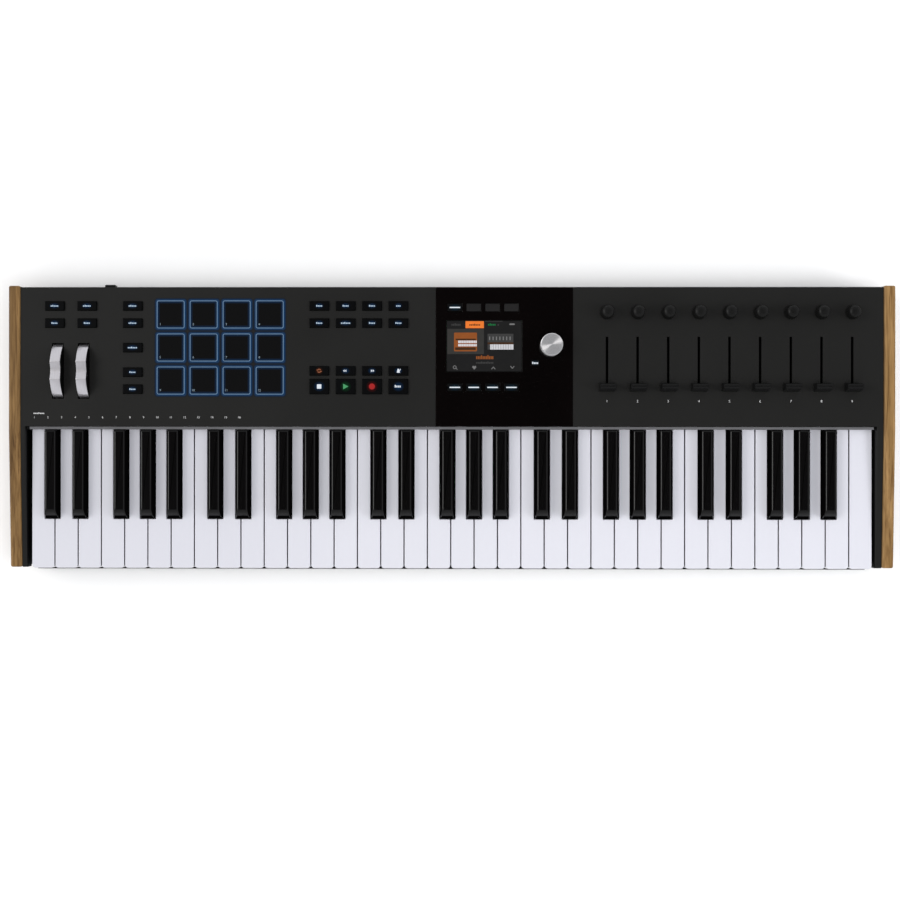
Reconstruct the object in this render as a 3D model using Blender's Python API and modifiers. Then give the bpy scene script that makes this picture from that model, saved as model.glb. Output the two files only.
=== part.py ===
"""A 61-key keyboard controller with wooden cheeks, drum pads, faders, knobs and a display.

Metres, +Z up. X runs along the keyboard, the player sits at -Y, and Z = 0 is the table under the feet.
Sizes below are in millimetres, multiplied by MM. Every piece that moves has its origin on its joint axis.
"""
import math

import bmesh
import bpy
from mathutils import Matrix, Vector

MM = 0.001
GAP = 0.3 * MM                       # clearance between pieces that touch
HAIR = 0.05 * MM                     # overlap that lets two shapes fuse

# Overall
WIDTH = 886.8 * MM
FRONT_Y = -143.7 * MM                # fronts of the white keys
BACK_Y = 138.5 * MM                  # back edge of the panel
PANEL_FRONT_Y = -0.9 * MM
PANEL_TOP = 60.5 * MM
PANEL_THICKNESS = 2.5 * MM
PANEL_UNDER = PANEL_TOP - PANEL_THICKNESS
STRIP_FRONT_Y = -4.0 * MM             # strip along the back of the keys
STRIP_Z = (54.5 * MM, 59.0 * MM)
FOOT_HEIGHT = 4.0 * MM
FLOOR_THICKNESS = 2.5 * MM
FLOOR_TOP = FOOT_HEIGHT + FLOOR_THICKNESS
WALL = 2.5 * MM
FRONT_WALL_TOP = 19.5 * MM            # leaves room for the keys to go down
SIDE_WALL_STEP_Y = 8.0 * MM           # the side walls are full height behind this

# Cheeks and side arms
CHEEK_THICKNESS = 11.5 * MM
CHEEK_PROUD = 1.5 * MM               # cheek above panel and arm
CHEEK_BACK_Y = 139.9 * MM
CHEEK_FRONT_Y = -142.7 * MM
LEFT_ARM_INNER_X = -426.3 * MM
RIGHT_ARM_INNER_X = 424.5 * MM
ARM_SLOPE_START_Y = -6.0 * MM
ARM_FRONT_TOP = 53.0 * MM
ARM_BOTTOM = 40.0 * MM
ARM_EDGE = 2.4 * MM                   # rounding along the inner top edge
CHEEK_EDGE = 1.8 * MM
CASE_HALF = WIDTH / 2 - CHEEK_THICKNESS - GAP

# Keys
KEY_PITCH = 23.5 * MM
OCTAVES = 5
WHITE_PER_OCTAVE = 7
OCTAVE_WIDTH = KEY_PITCH * WHITE_PER_OCTAVE
KEYS_LEFT = -KEY_PITCH * (OCTAVES * WHITE_PER_OCTAVE + 1) / 2
KEY_GAP = 1.0 * MM
WHITE_TOP = 51.5 * MM
WHITE_DEPTH = 20.0 * MM              # height of a white key's side walls
WHITE_BACK_Y = -1.2 * MM
KEY_SKIN = 2.0 * MM
BLACK_WIDTH = 14.2 * MM
BLACK_TOP_WIDTH = 10.2 * MM
BLACK_FRONT_Y = -93.4 * MM
BLACK_BACK_Y = -4.3 * MM
BLACK_TOP = 62.0 * MM
BLACK_SLOPE = 7.5 * MM               # run of the sloping front
BLACK_SHOULDER = 52.0 * MM
BLACK_BOTTOM = 38.0 * MM
BLACK_CLEARANCE = 0.9 * MM
PIVOT_Y = 10.0 * MM
PIVOT_Z = 36.0 * MM
TAIL_FRONT_Y = -14.0 * MM
TAIL_BACK_Y = 11.0 * MM
TAIL_TOP = 47.5 * MM
RAIL_FRONT_Y = 11.5 * MM
RAIL_BACK_Y = 17.5 * MM
RAIL_HEIGHT = 3.0 * MM
ARM_TO_RAIL_Y = (TAIL_FRONT_Y + HAIR, RAIL_BACK_Y - HAIR)
RAIL_BOTTOMS = {"ceg_b": 30.5 * MM, "dfa": 34.5 * MM, "black": 38.5 * MM}
# Black keys' centres in white-key pitches from the octave's left edge: three sharps share five
# equal tails over C to E, two share seven over F to B.
SHARP_CENTRES = [3 * 1.5 / 5, 3 * 3.5 / 5, 3 + 4 * 1.5 / 7, 3 + 4 * 3.5 / 7, 3 + 4 * 5.5 / 7]
COMB_WHITES = {"ceg_b": (0, 2, 4, 6), "dfa": (1, 3, 5)}

# Buttons, pads and their silicone mats
BUTTON_SIZE = (19.2 * MM, 8.9 * MM)
BUTTON_TOP = PANEL_TOP + 2.0 * MM
HOLE_CLEARANCE = 0.35 * MM
MAT_BOTTOM = 49.0 * MM
MAT_TOP = 50.5 * MM
MAT_BORDER = 3.0 * MM
LEFT_BUTTON_XS = (-397.1 * MM, -364.6 * MM)
TOP_ROW_Y = 119.6 * MM
SECOND_ROW_Y = 102.4 * MM
MODE_X = -318.8 * MM
MODE_YS = (TOP_ROW_Y, SECOND_ROW_Y, 77.8 * MM, 53.2 * MM, 36.2 * MM)
TRANSPORT_X = -131.6 * MM
TRANSPORT_PITCH = 26.4 * MM
TRANSPORT_COLUMNS = 4
TRANSPORT_YS = (TOP_ROW_Y, SECOND_ROW_Y, 54.6 * MM)
PLAY_ROW_Y = 38.9 * MM
PLAY_BUTTON_SIZE = (19.2 * MM, 14.8 * MM)
PAD_SIZE = 28.9 * MM
PAD_PITCH = 33.1 * MM
PAD_X = -280.7 * MM
PAD_Y = 111.0 * MM
PAD_COLUMNS = 4
PAD_ROWS = 3
PAD_TOP = PANEL_TOP + 1.5 * MM
PAD_WEB_BORDER = 1.2 * MM

# Centre fascia, display and encoder
FASCIA_X = (-15.4 * MM, 122.4 * MM)
FASCIA_THICKNESS = 1.2 * MM
DISPLAY_X = (-4.2 * MM, 71.0 * MM)
DISPLAY_Y = (54.0 * MM, 104.9 * MM)
DISPLAY_BOTTOM = 49.0 * MM
CONTEXT_X = 4.1 * MM
CONTEXT_PITCH = 18.85 * MM
CONTEXT_COLUMNS = 4
CONTEXT_YS = (118.0 * MM, 38.1 * MM)
CONTEXT_SIZE = (14.3 * MM, 7.6 * MM)
CONTEXT_TOP = PANEL_TOP + 0.8 * MM
CONTEXT_BORDER = 1.5 * MM
BACK_BUTTON = (84.3 * MM, 62.6 * MM)
BACK_BUTTON_SIZE = (8.0 * MM, 5.6 * MM)
ENCODER = (100.4 * MM, 80.4 * MM)
ENCODER_RADIUS = 11.3 * MM
ENCODER_TOP = PANEL_TOP + 14.0 * MM

# Knobs and faders share nine columns
STRIPS = 9
STRIP_X = 156.1 * MM
STRIP_PITCH = 30.55 * MM
KNOB_Y = 113.0 * MM
KNOB_RADIUS = 7.0 * MM
KNOB_TOP_RADIUS = 6.1 * MM
KNOB_TOP = PANEL_TOP + 14.5 * MM
SHAFT_RADIUS = 3.0 * MM
SHAFT_BOTTOM = 50.0 * MM
SHAFT_HOLE = SHAFT_RADIUS + 2 * GAP
FADER_Y = 38.2 * MM                  # stem at the low end of its 45 mm travel
FADER_SLOT_Y = (34.7 * MM, 88.8 * MM)
FADER_SLOT_WIDTH = 2.6 * MM
FADER_CAP = (15.5 * MM, 8.4 * MM)
FADER_CAP_TOP = (15.0 * MM, 5.0 * MM)
FADER_TOP = PANEL_TOP + 15.0 * MM

# Wheels
WHEEL_XS = (-394.1 * MM, -368.2 * MM)
WHEEL_Y = 54.45 * MM
WHEEL_RADIUS = 31.0 * MM
WHEEL_Z = PANEL_TOP + 13.7 * MM - WHEEL_RADIUS
WHEEL_WIDTH = 9.8 * MM
WHEEL_SLOT = (11.8 * MM, 56.0 * MM)
WHEEL_ARC = math.radians(100)        # rim either side of the top
AXLE_RADIUS = 2.5 * MM
POST_INSET = 1.4 * MM                # from a wheel's face to its post
POST_THICKNESS = 3.0 * MM
POST_DEPTH = 16.0 * MM
POST_ABOVE_AXLE = 7.0 * MM
SCOOP_RADIUS = 14.0 * MM
SCOOP_DEPTH = 3.2 * MM

# Boards and rear sockets
CONTACT_Z = 16.5 * MM
FRAME_WEB = 2.0 * MM
FRAME_BACK_RIB_Y = (18.0 * MM, 14.0 * MM)       # each pair runs from back to front
FRAME_SEAT_Y = (-34.0 * MM, -78.0 * MM)         # raised seat for the contact board
FRAME_STOP_Y = (-118.0 * MM, -124.0 * MM)       # rib that the keys come down on
FRAME_STOP_TOP = 18.0 * MM
CONTACT_BOARD_Y = (-76.0 * MM, -36.0 * MM)
CONTACT_STRIP_Y = (-60.0 * MM, -52.0 * MM)
CONTACT_STRIP_HEIGHT = 3.0 * MM
BOARD_THICKNESS = 1.6 * MM
SEATING = 0.4 * MM                    # how far parts are let into their board
BOARD_POST_RADIUS = 3.5 * MM
BOARD_POST_XS = (-300.0 * MM, -150.0 * MM, 0.0, 150.0 * MM, 300.0 * MM, 410.0 * MM)
BOARD_POST_YS = (34.0 * MM, 130.0 * MM)
MAIN_BOARD_Z = 46.0 * MM
MAIN_BOARD_XS = (-412.0 * MM, -332.0 * MM, 424.0 * MM)   # left edge, notch for the wheels, right edge
MAIN_BOARD_YS = (28.0 * MM, 92.0 * MM, 134.0 * MM)       # front edge, notch for the wheels, back edge
POT_SIZE = 12.0 * MM
POT_TOP = 54.0 * MM
FADER_BODY_WIDTH = 9.0 * MM
FADER_BODY_Y = (30.0 * MM, 93.0 * MM)
FADER_BODY_TOP = 55.0 * MM
ENCODER_PUSH_ROOM = 1.5 * MM
IO_BOARD_Z = 20.0 * MM
IO_BOARD_X = (-358.0 * MM, -20.0 * MM)
IO_BOARD_Y = (98.0 * MM, 134.8 * MM)
SOCKET_Z = 31.0 * MM
NOSE_BACK_Y = 138.6 * MM             # socket noses stand just proud of the rear wall
SOCKET_BODY_BACK_Y = BACK_Y - WALL - 2 * GAP
SOCKET_SEAT = IO_BOARD_Z + BOARD_THICKNESS - SEATING
SWITCH_BODY = (14.0 * MM, 37.0 * MM)  # width and top
POWER_X = -347.6 * MM
POWER_SIZE = (10.6 * MM, 8.0 * MM)
POWER_BACK_Y = 143.7 * MM
POWER_FRONT_Y = 128.0 * MM
DC_X = -312.0 * MM
DC_SIZE = (9.4 * MM, 10.8 * MM)
DC_BORE = 3.2 * MM
USB_X = -286.0 * MM
USB_SIZE = (12.2 * MM, 11.2 * MM)
USB_MOUTH = (8.8 * MM, 8.0 * MM)
POWER_INLET_BORE_Y = 126.0 * MM       # how deep the DC and USB mouths go
POWER_INLET_BODY_Y = 120.0 * MM
MIDI_XS = (-252.0 * MM, -222.0 * MM)
JACK_XS = (-186.0 * MM, -160.0 * MM, -134.0 * MM, -108.0 * MM, -82.0 * MM)
JACK_RADIUS = 5.6 * MM
JACK_BORE = 3.35 * MM
JACK_BORE_Y = 110.0 * MM
JACK_BODY = (15.0 * MM, 38.5 * MM)    # width and top
JACK_BODY_Y = 106.0 * MM
MIDI_RADIUS = 8.4 * MM
MIDI_BORE = 6.6 * MM
MIDI_BORE_Y = 128.0 * MM
MIDI_BODY = (20.0 * MM, 41.0 * MM)
MIDI_BODY_Y = 112.0 * MM

FOOT_RADIUS = 9.0 * MM
FOOT_FLARE = 0.8 * MM
FOOT_X = 395.0 * MM
FOOT_YS = (-118.0 * MM, 112.0 * MM)

ROUND_STEPS = 24
SMALL_STEPS = 16
WHEEL_STEPS = 40
SCOOP_STEPS = 32
KNOB_STEPS = 20
ENCODER_STEPS = 32


def clear_scene():
    for obj in list(bpy.data.objects):
        bpy.data.objects.remove(obj, do_unlink=True)


def new_collection(name):
    collection = bpy.data.collections.new(name)
    bpy.context.scene.collection.children.link(collection)
    return collection


def make_material(name, color, roughness, metallic=0.0):
    material = bpy.data.materials.new(name)
    material.use_nodes = True
    shader = material.node_tree.nodes["Principled BSDF"]
    shader.inputs["Base Color"].default_value = (*color, 1.0)
    shader.inputs["Roughness"].default_value = roughness
    shader.inputs["Metallic"].default_value = metallic
    return material


# ---------------------------------------------------------------- raw shapes, each returned as a mesh

def span(centre, width):
    return centre - width / 2, centre + width / 2


def grown(limits, by=GAP):
    return limits[0] - by, limits[1] + by


def box(x, y, z):
    """A box between two limits on each axis."""
    bm = bmesh.new()
    bmesh.ops.create_cube(bm, size=1.0)
    size = Matrix.Diagonal((x[1] - x[0], y[1] - y[0], z[1] - z[0], 1.0))
    centre = Matrix.Translation(((x[0] + x[1]) / 2, (y[0] + y[1]) / 2, (z[0] + z[1]) / 2))
    bmesh.ops.transform(bm, matrix=centre @ size, verts=bm.verts)
    return mesh_from(bm)


def centred_box(x, y, size, z):
    return box((x - size[0] / 2, x + size[0] / 2), (y - size[1] / 2, y + size[1] / 2), z)


def tapered_box(x, y, z, side, front=0.0, back=0.0):
    """A box whose top is drawn in by side, front and back."""
    mesh = box(x, y, z)
    middle_x = (x[0] + x[1]) / 2
    middle_y = (y[0] + y[1]) / 2
    middle_z = (z[0] + z[1]) / 2
    for vertex in mesh.vertices:
        if vertex.co.z > middle_z:
            vertex.co.x += side if vertex.co.x < middle_x else -side
            vertex.co.y += front if vertex.co.y < middle_y else -back
    return mesh


def cylinder(radius, base, length, axis="Z", steps=ROUND_STEPS, top_radius=None):
    """A cylinder or cone from the point base along +axis."""
    bm = bmesh.new()
    far_radius = radius if top_radius is None else top_radius
    bmesh.ops.create_cone(bm, cap_ends=True, segments=steps, radius1=radius, radius2=far_radius, depth=length)
    bmesh.ops.translate(bm, verts=bm.verts, vec=(0, 0, length / 2))
    turn = {
        "X": Matrix.Rotation(math.radians(90), 4, "Y"),
        "Y": Matrix.Rotation(math.radians(-90), 4, "X"),
        "Z": Matrix.Identity(4),
    }[axis]
    bmesh.ops.transform(bm, matrix=Matrix.Translation(base) @ turn, verts=bm.verts)
    return mesh_from(bm)


def outline(points, low, high, axis="Z"):
    """A flat outline extruded from low to high: along Z it is drawn in X and Y, along X in Y and Z."""
    curve = bpy.data.curves.new("outline", "CURVE")
    curve.dimensions = "2D"
    curve.fill_mode = "BOTH"
    curve.extrude = (high - low) / 2
    spline = curve.splines.new("POLY")
    spline.points.add(len(points) - 1)
    for point, (u, v) in zip(spline.points, points):
        point.co = (u, v, 0, 1)
    spline.use_cyclic_u = True
    obj = bpy.data.objects.new("outline", curve)
    bpy.context.scene.collection.objects.link(obj)
    mesh = evaluated_mesh(obj)
    bpy.data.objects.remove(obj)
    bm = bmesh.new()
    bm.from_mesh(mesh)
    bmesh.ops.remove_doubles(bm, verts=bm.verts, dist=0.01 * MM)
    bmesh.ops.translate(bm, verts=bm.verts, vec=(0, 0, (low + high) / 2))
    if axis == "X":
        to_side = Matrix(((0, 0, 1, 0), (1, 0, 0, 0), (0, 1, 0, 0), (0, 0, 0, 1)))
        bmesh.ops.transform(bm, matrix=to_side, verts=bm.verts)
    bmesh.ops.dissolve_limit(bm, angle_limit=math.radians(1), verts=bm.verts, edges=bm.edges)
    bmesh.ops.recalc_face_normals(bm, faces=bm.faces)
    return mesh_from(bm)


def turned(profile, centre, steps=ROUND_STEPS):
    """A shape turned about a vertical line from (radius, height) points, top to bottom."""
    bm = bmesh.new()
    vertices = [bm.verts.new((radius, 0, height)) for radius, height in profile]
    for first, second in zip(vertices, vertices[1:]):
        bm.edges.new((first, second))
    obj = bpy.data.objects.new("turned", mesh_from(bm))
    bpy.context.scene.collection.objects.link(obj)
    screw = obj.modifiers.new("turn", "SCREW")
    screw.steps = steps
    screw.render_steps = steps
    screw.use_merge_vertices = True
    screw.merge_threshold = 0.01 * MM
    mesh = evaluated_mesh(obj)
    bpy.data.objects.remove(obj)
    mesh.transform(Matrix.Translation((centre[0], centre[1], 0)))
    return mesh


def mesh_from(bm):
    mesh = bpy.data.meshes.new("shape")
    bm.to_mesh(mesh)
    bm.free()
    return mesh


def evaluated_mesh(obj):
    graph = bpy.context.evaluated_depsgraph_get()
    return bpy.data.meshes.new_from_object(obj.evaluated_get(graph), depsgraph=graph)


def bevelled(mesh, width, wanted, segments=2):
    """Rounds the edges for which wanted(first, second) is true."""
    bm = bmesh.new()
    bm.from_mesh(mesh)
    edges = [edge for edge in bm.edges if wanted(edge.verts[0].co, edge.verts[1].co)]
    bmesh.ops.bevel(bm, geom=edges, offset=width, segments=segments, profile=0.5, affect="EDGES")
    bm.to_mesh(mesh)
    bm.free()
    return mesh


# ---------------------------------------------------------------- pieces

def combined(base, others, operation):
    """Fuses the other meshes with base, or cuts them from it."""
    if not others:
        return base
    target = bpy.data.objects.new("target", base)
    bpy.context.scene.collection.objects.link(target)
    tools = new_collection("tools")
    for mesh in others:
        tools.objects.link(bpy.data.objects.new("tool", mesh))
    boolean = target.modifiers.new(operation.lower(), "BOOLEAN")
    boolean.operation = operation
    boolean.solver = "EXACT"
    boolean.operand_type = "COLLECTION"
    boolean.collection = tools
    result = evaluated_mesh(target)
    for tool in list(tools.objects):
        bpy.data.objects.remove(tool)
    bpy.data.collections.remove(tools)
    bpy.data.objects.remove(target)
    return result


def piece(name, material, solids, cuts=(), origin=(0, 0, 0), smooth=False):
    """One named object: the solids fused, the cuts taken out, its origin where its joint turns or slides."""
    mesh = combined(solids[0], solids[1:], "UNION")
    mesh = combined(mesh, list(cuts), "DIFFERENCE")
    mesh.transform(Matrix.Translation(-Vector(origin)))
    mesh.name = name
    mesh.materials.clear()
    mesh.materials.append(material)
    if smooth:
        mesh.shade_smooth()
        mesh.set_sharp_from_angle(angle=math.radians(35))
    obj = bpy.data.objects.new(name, mesh)
    obj.location = origin
    PARTS.objects.link(obj)
    return obj


def strip_x(index):
    return STRIP_X + index * STRIP_PITCH


def transport_x(column):
    return TRANSPORT_X + column * TRANSPORT_PITCH


def context_x(column):
    return CONTEXT_X + column * CONTEXT_PITCH


def pad_centre(row, column):
    return PAD_X + column * PAD_PITCH, PAD_Y - row * PAD_PITCH


def pad_places(row):
    return [(*pad_centre(row, column), (PAD_SIZE, PAD_SIZE)) for column in range(PAD_COLUMNS)]


def left_button_places():
    places = [(x, y, BUTTON_SIZE) for x in LEFT_BUTTON_XS for y in (TOP_ROW_Y, SECOND_ROW_Y)]
    return places + [(MODE_X, y, BUTTON_SIZE) for y in MODE_YS]


def transport_places():
    columns = range(TRANSPORT_COLUMNS)
    places = [(transport_x(column), y, BUTTON_SIZE) for column in columns for y in TRANSPORT_YS]
    return places + [(transport_x(column), PLAY_ROW_Y, PLAY_BUTTON_SIZE) for column in columns]


def display_button_places():
    places = [(context_x(column), y, CONTEXT_SIZE) for column in range(CONTEXT_COLUMNS) for y in CONTEXT_YS]
    return places + [(*BACK_BUTTON, BACK_BUTTON_SIZE)]


def holes(places, z, clearance=HOLE_CLEARANCE):
    return [
        centred_box(x, y, (size[0] + 2 * clearance, size[1] + 2 * clearance), z)
        for x, y, size in places
    ]


def side_profile(top, front_y, back_y, bottom, rise):
    """The side outline that panel, arms and cheeks share: level over the panel, falling past the keys."""
    return [
        (front_y, bottom),
        (back_y, bottom),
        (back_y, top + rise),
        (ARM_SLOPE_START_Y, top + rise),
        (front_y, ARM_FRONT_TOP + rise),
    ]


def make_top_panel(material):
    through = (PANEL_UNDER - MM, PANEL_TOP + MM)
    sheet = box((-CASE_HALF, CASE_HALF), (PANEL_FRONT_Y, BACK_Y), (PANEL_UNDER, PANEL_TOP))
    solids = [sheet]
    for side, inner in ((-1, LEFT_ARM_INNER_X), (1, RIGHT_ARM_INNER_X)):
        low, high = sorted((inner, side * CASE_HALF))
        profile = side_profile(PANEL_TOP, CHEEK_FRONT_Y, PANEL_FRONT_Y + 4 * MM, ARM_BOTTOM, 0)
        arm = outline(profile, low, high, "X")
        solids.append(bevelled(
            arm, ARM_EDGE,
            lambda a, b, x=inner: all(abs(c.x - x) < HAIR and c.z > ARM_FRONT_TOP - MM for c in (a, b)),
        ))
    recess = (PANEL_TOP - FASCIA_THICKNESS - GAP, PANEL_TOP + MM)
    cuts = [box(FASCIA_X, (PANEL_FRONT_Y - MM, BACK_Y + MM), recess)]
    cuts += holes(left_button_places() + transport_places() + display_button_places(), through)
    for row in range(PAD_ROWS):
        cuts += holes(pad_places(row), through)
    cuts += [centred_box(x, WHEEL_Y, WHEEL_SLOT, through) for x in WHEEL_XS]
    cuts.append(box(grown(DISPLAY_X), grown(DISPLAY_Y), through))
    depth = through[1] - through[0]
    cuts.append(cylinder(SHAFT_HOLE, (*ENCODER, through[0]), depth, steps=SMALL_STEPS))
    for index in range(STRIPS):
        x = strip_x(index)
        cuts.append(cylinder(SHAFT_HOLE, (x, KNOB_Y, through[0]), depth, steps=SMALL_STEPS))
        cuts.append(box(span(x, FADER_SLOT_WIDTH), FADER_SLOT_Y, through))
    piece("top_panel", material, solids, cuts)


def make_centre_panel(material):
    z = (PANEL_TOP - FASCIA_THICKNESS, PANEL_TOP)
    through = (z[0] - MM, z[1] + MM)
    sheet = box(grown(FASCIA_X, -GAP), (PANEL_FRONT_Y, BACK_Y), z)
    cuts = holes(display_button_places(), through)
    cuts.append(box(grown(DISPLAY_X), grown(DISPLAY_Y), through))
    cuts.append(cylinder(SHAFT_HOLE, (*ENCODER, through[0]), PANEL_THICKNESS + 2 * MM, steps=SMALL_STEPS))
    piece("centre_panel", material, [sheet], cuts)


def make_cheeks(material):
    for name, side in (("left_cheek", -1), ("right_cheek", 1)):
        low, high = sorted((side * (CASE_HALF + GAP), side * WIDTH / 2))
        profile = side_profile(PANEL_TOP, CHEEK_FRONT_Y, CHEEK_BACK_Y, FOOT_HEIGHT, CHEEK_PROUD)
        blank = outline(profile, low, high, "X")
        piece(name, material, [bevelled(
            blank, CHEEK_EDGE,
            lambda a, b: min(a.z, b.z) > FOOT_HEIGHT + MM or abs(a.z - b.z) > 10 * MM,
            segments=3,
        )], smooth=True)


def make_bottom_case(material):
    inner = CASE_HALF - WALL
    front = CHEEK_FRONT_Y + MM
    wall_top = PANEL_UNDER - GAP
    side_back = BACK_Y - GAP - HAIR
    floor = box((-CASE_HALF, CASE_HALF), (front, BACK_Y - GAP), (FOOT_HEIGHT, FLOOR_TOP))
    solids = [
        floor,
        box((-CASE_HALF, CASE_HALF), (front, front + WALL), (FOOT_HEIGHT + MM, FRONT_WALL_TOP)),
        box((-CASE_HALF, CASE_HALF), (BACK_Y - GAP - WALL, BACK_Y - GAP), (FOOT_HEIGHT + MM, wall_top)),
    ]
    for side in (-1, 1):
        low, high = sorted((side * inner, side * CASE_HALF))
        solids.append(box((low, high), (front + HAIR, side_back), (FOOT_HEIGHT + 2 * MM, ARM_BOTTOM - GAP)))
        solids.append(box((low, high), (SIDE_WALL_STEP_Y, side_back), (FOOT_HEIGHT + 2 * MM, wall_top)))
    for x in BOARD_POST_XS:
        for y in BOARD_POST_YS:
            under_io_board = IO_BOARD_X[0] < x < IO_BOARD_X[1] and y > IO_BOARD_Y[0]
            post_top = IO_BOARD_Z if under_io_board else MAIN_BOARD_Z
            base = (x, y, FLOOR_TOP - MM)
            solids.append(cylinder(BOARD_POST_RADIUS, base, post_top - GAP - base[2], steps=SMALL_STEPS))
    cuts = []
    for x in WHEEL_XS:
        for side in (-1, 1):
            face = x + side * (WHEEL_WIDTH / 2 + POST_INSET)
            low, high = sorted((face, face + side * POST_THICKNESS))
            post_z = (FLOOR_TOP - MM, WHEEL_Z + POST_ABOVE_AXLE)
            solids.append(box((low, high), span(WHEEL_Y, POST_DEPTH), post_z))
            bore_start = (low - MM, WHEEL_Y, WHEEL_Z)
            cuts.append(cylinder(AXLE_RADIUS + GAP, bore_start, POST_THICKNESS + 2 * MM, "X", SMALL_STEPS))
    wall_y = BACK_Y - WALL - 2 * MM
    depth = WALL + 4 * MM
    for x in JACK_XS:
        cuts.append(cylinder(JACK_RADIUS + GAP, (x, wall_y, SOCKET_Z), depth, "Y", SMALL_STEPS))
    for x in MIDI_XS:
        cuts.append(cylinder(MIDI_RADIUS + GAP, (x, wall_y, SOCKET_Z), depth, "Y"))
    for x, size in ((DC_X, DC_SIZE), (USB_X, USB_SIZE), (POWER_X, POWER_SIZE)):
        half = size[0] / 2 + GAP
        rise = size[1] / 2 + GAP
        cuts.append(box((x - half, x + half), (wall_y, wall_y + depth), (SOCKET_Z - rise, SOCKET_Z + rise)))
    piece("bottom_case", material, solids, cuts)


def round_socket(x, body, body_y, radius, bore, bore_y, steps):
    """A round socket's solids, a body and the nose through the rear wall, and the bore in them."""
    body_x = span(x, body[0])
    nose_start = (x, SOCKET_BODY_BACK_Y - MM, SOCKET_Z)
    solids = [
        box(body_x, (body_y, SOCKET_BODY_BACK_Y), (SOCKET_SEAT, body[1])),
        cylinder(radius, nose_start, NOSE_BACK_Y - nose_start[1], "Y", steps),
    ]
    return solids, cylinder(bore, (x, bore_y, SOCKET_Z), NOSE_BACK_Y + MM - bore_y, "Y", steps)


def square_socket(x, size):
    """A box-shaped socket's solids, a body and the nose through the rear wall."""
    nose_x = span(x, size[0])
    nose_z = span(SOCKET_Z, size[1])
    body_x = grown(nose_x, MM)
    return [
        box(body_x, (POWER_INLET_BODY_Y, SOCKET_BODY_BACK_Y), (SOCKET_SEAT, nose_z[1] + MM)),
        box(nose_x, (SOCKET_BODY_BACK_Y - MM, NOSE_BACK_Y), nose_z),
    ]


def make_io_board(material):
    solids = [box(IO_BOARD_X, IO_BOARD_Y, (IO_BOARD_Z, IO_BOARD_Z + BOARD_THICKNESS))]
    cuts = []
    jack = (JACK_BODY, JACK_BODY_Y, JACK_RADIUS, JACK_BORE, JACK_BORE_Y, SMALL_STEPS)
    midi = (MIDI_BODY, MIDI_BODY_Y, MIDI_RADIUS, MIDI_BORE, MIDI_BORE_Y, ROUND_STEPS)
    for x, sizes in [(x, jack) for x in JACK_XS] + [(x, midi) for x in MIDI_XS]:
        made, bore = round_socket(x, *sizes)
        solids += made
        cuts.append(bore)
    solids += square_socket(DC_X, DC_SIZE) + square_socket(USB_X, USB_SIZE)
    mouth_y = (POWER_INLET_BORE_Y, NOSE_BACK_Y + MM)
    depth = mouth_y[1] - mouth_y[0]
    cuts.append(cylinder(DC_BORE, (DC_X, mouth_y[0], SOCKET_Z), depth, "Y", SMALL_STEPS))
    cuts.append(box(span(USB_X, USB_MOUTH[0]), mouth_y, span(SOCKET_Z, USB_MOUTH[1])))
    switch_y = (MIDI_BODY_Y, POWER_FRONT_Y - 3 * MM)
    solids.append(box(span(POWER_X, SWITCH_BODY[0]), switch_y, (SOCKET_SEAT, SWITCH_BODY[1])))
    piece("io_board", material, solids, cuts)


def make_main_board(material):
    top = MAIN_BOARD_Z + BOARD_THICKNESS
    seat = top - SEATING
    left, neck_x, right = MAIN_BOARD_XS
    front, neck_y, back = MAIN_BOARD_YS
    board = outline([
        (neck_x, front), (right, front), (right, back), (left, back), (left, neck_y), (neck_x, neck_y),
    ], MAIN_BOARD_Z, top)
    solids = [board]
    cuts = []
    for index in range(STRIPS):
        x = strip_x(index)
        solids.append(centred_box(x, KNOB_Y, (POT_SIZE, POT_SIZE), (seat, POT_TOP)))
        bore_z = SHAFT_BOTTOM - GAP
        bore_depth = POT_TOP + MM - bore_z
        cuts.append(cylinder(SHAFT_RADIUS + GAP, (x, KNOB_Y, bore_z), bore_depth, steps=SMALL_STEPS))
        solids.append(box(span(x, FADER_BODY_WIDTH), FADER_BODY_Y, (seat, FADER_BODY_TOP)))
        cuts.append(box(span(x, FADER_SLOT_WIDTH), FADER_SLOT_Y, (bore_z, FADER_BODY_TOP + MM)))
    solids.append(centred_box(*ENCODER, (POT_SIZE, POT_SIZE), (seat, POT_TOP)))
    bore_z = SHAFT_BOTTOM - ENCODER_PUSH_ROOM
    cuts.append(cylinder(SHAFT_RADIUS + GAP, (*ENCODER, bore_z), POT_TOP + MM - bore_z, steps=SMALL_STEPS))
    piece("main_board", material, solids, cuts)


def make_keybed_frame(material):
    front = CHEEK_FRONT_Y + MM + WALL + GAP
    bottom = FLOOR_TOP + GAP
    top = bottom + FRAME_WEB
    back, back_inner = FRAME_BACK_RIB_Y
    seat_back, seat_front = FRAME_SEAT_Y
    stop_back, stop_front = FRAME_STOP_Y
    rib_top = RAIL_BOTTOMS["ceg_b"] - 1.5 * MM
    seat_top = CONTACT_Z - GAP
    profile = [
        (front, bottom), (back, bottom), (back, rib_top), (back_inner, rib_top), (back_inner, top),
        (seat_back, top), (seat_back, seat_top), (seat_front, seat_top), (seat_front, top),
        (stop_back, top), (stop_back, FRAME_STOP_TOP), (stop_front, FRAME_STOP_TOP), (stop_front, top),
        (front, top),
    ]
    piece("keybed_frame", material, [outline(profile, KEYS_LEFT, -KEYS_LEFT, "X")])


def make_key_contact_board(material):
    z = (CONTACT_Z, CONTACT_Z + BOARD_THICKNESS)
    half = -KEYS_LEFT - 3 * MM
    board = box((-half, half), CONTACT_BOARD_Y, z)
    strip = box(grown((-half, half), -3 * MM), CONTACT_STRIP_Y, (z[1] - HAIR, z[1] + CONTACT_STRIP_HEIGHT))
    piece("key_contact_board", material, [board, strip])


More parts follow.
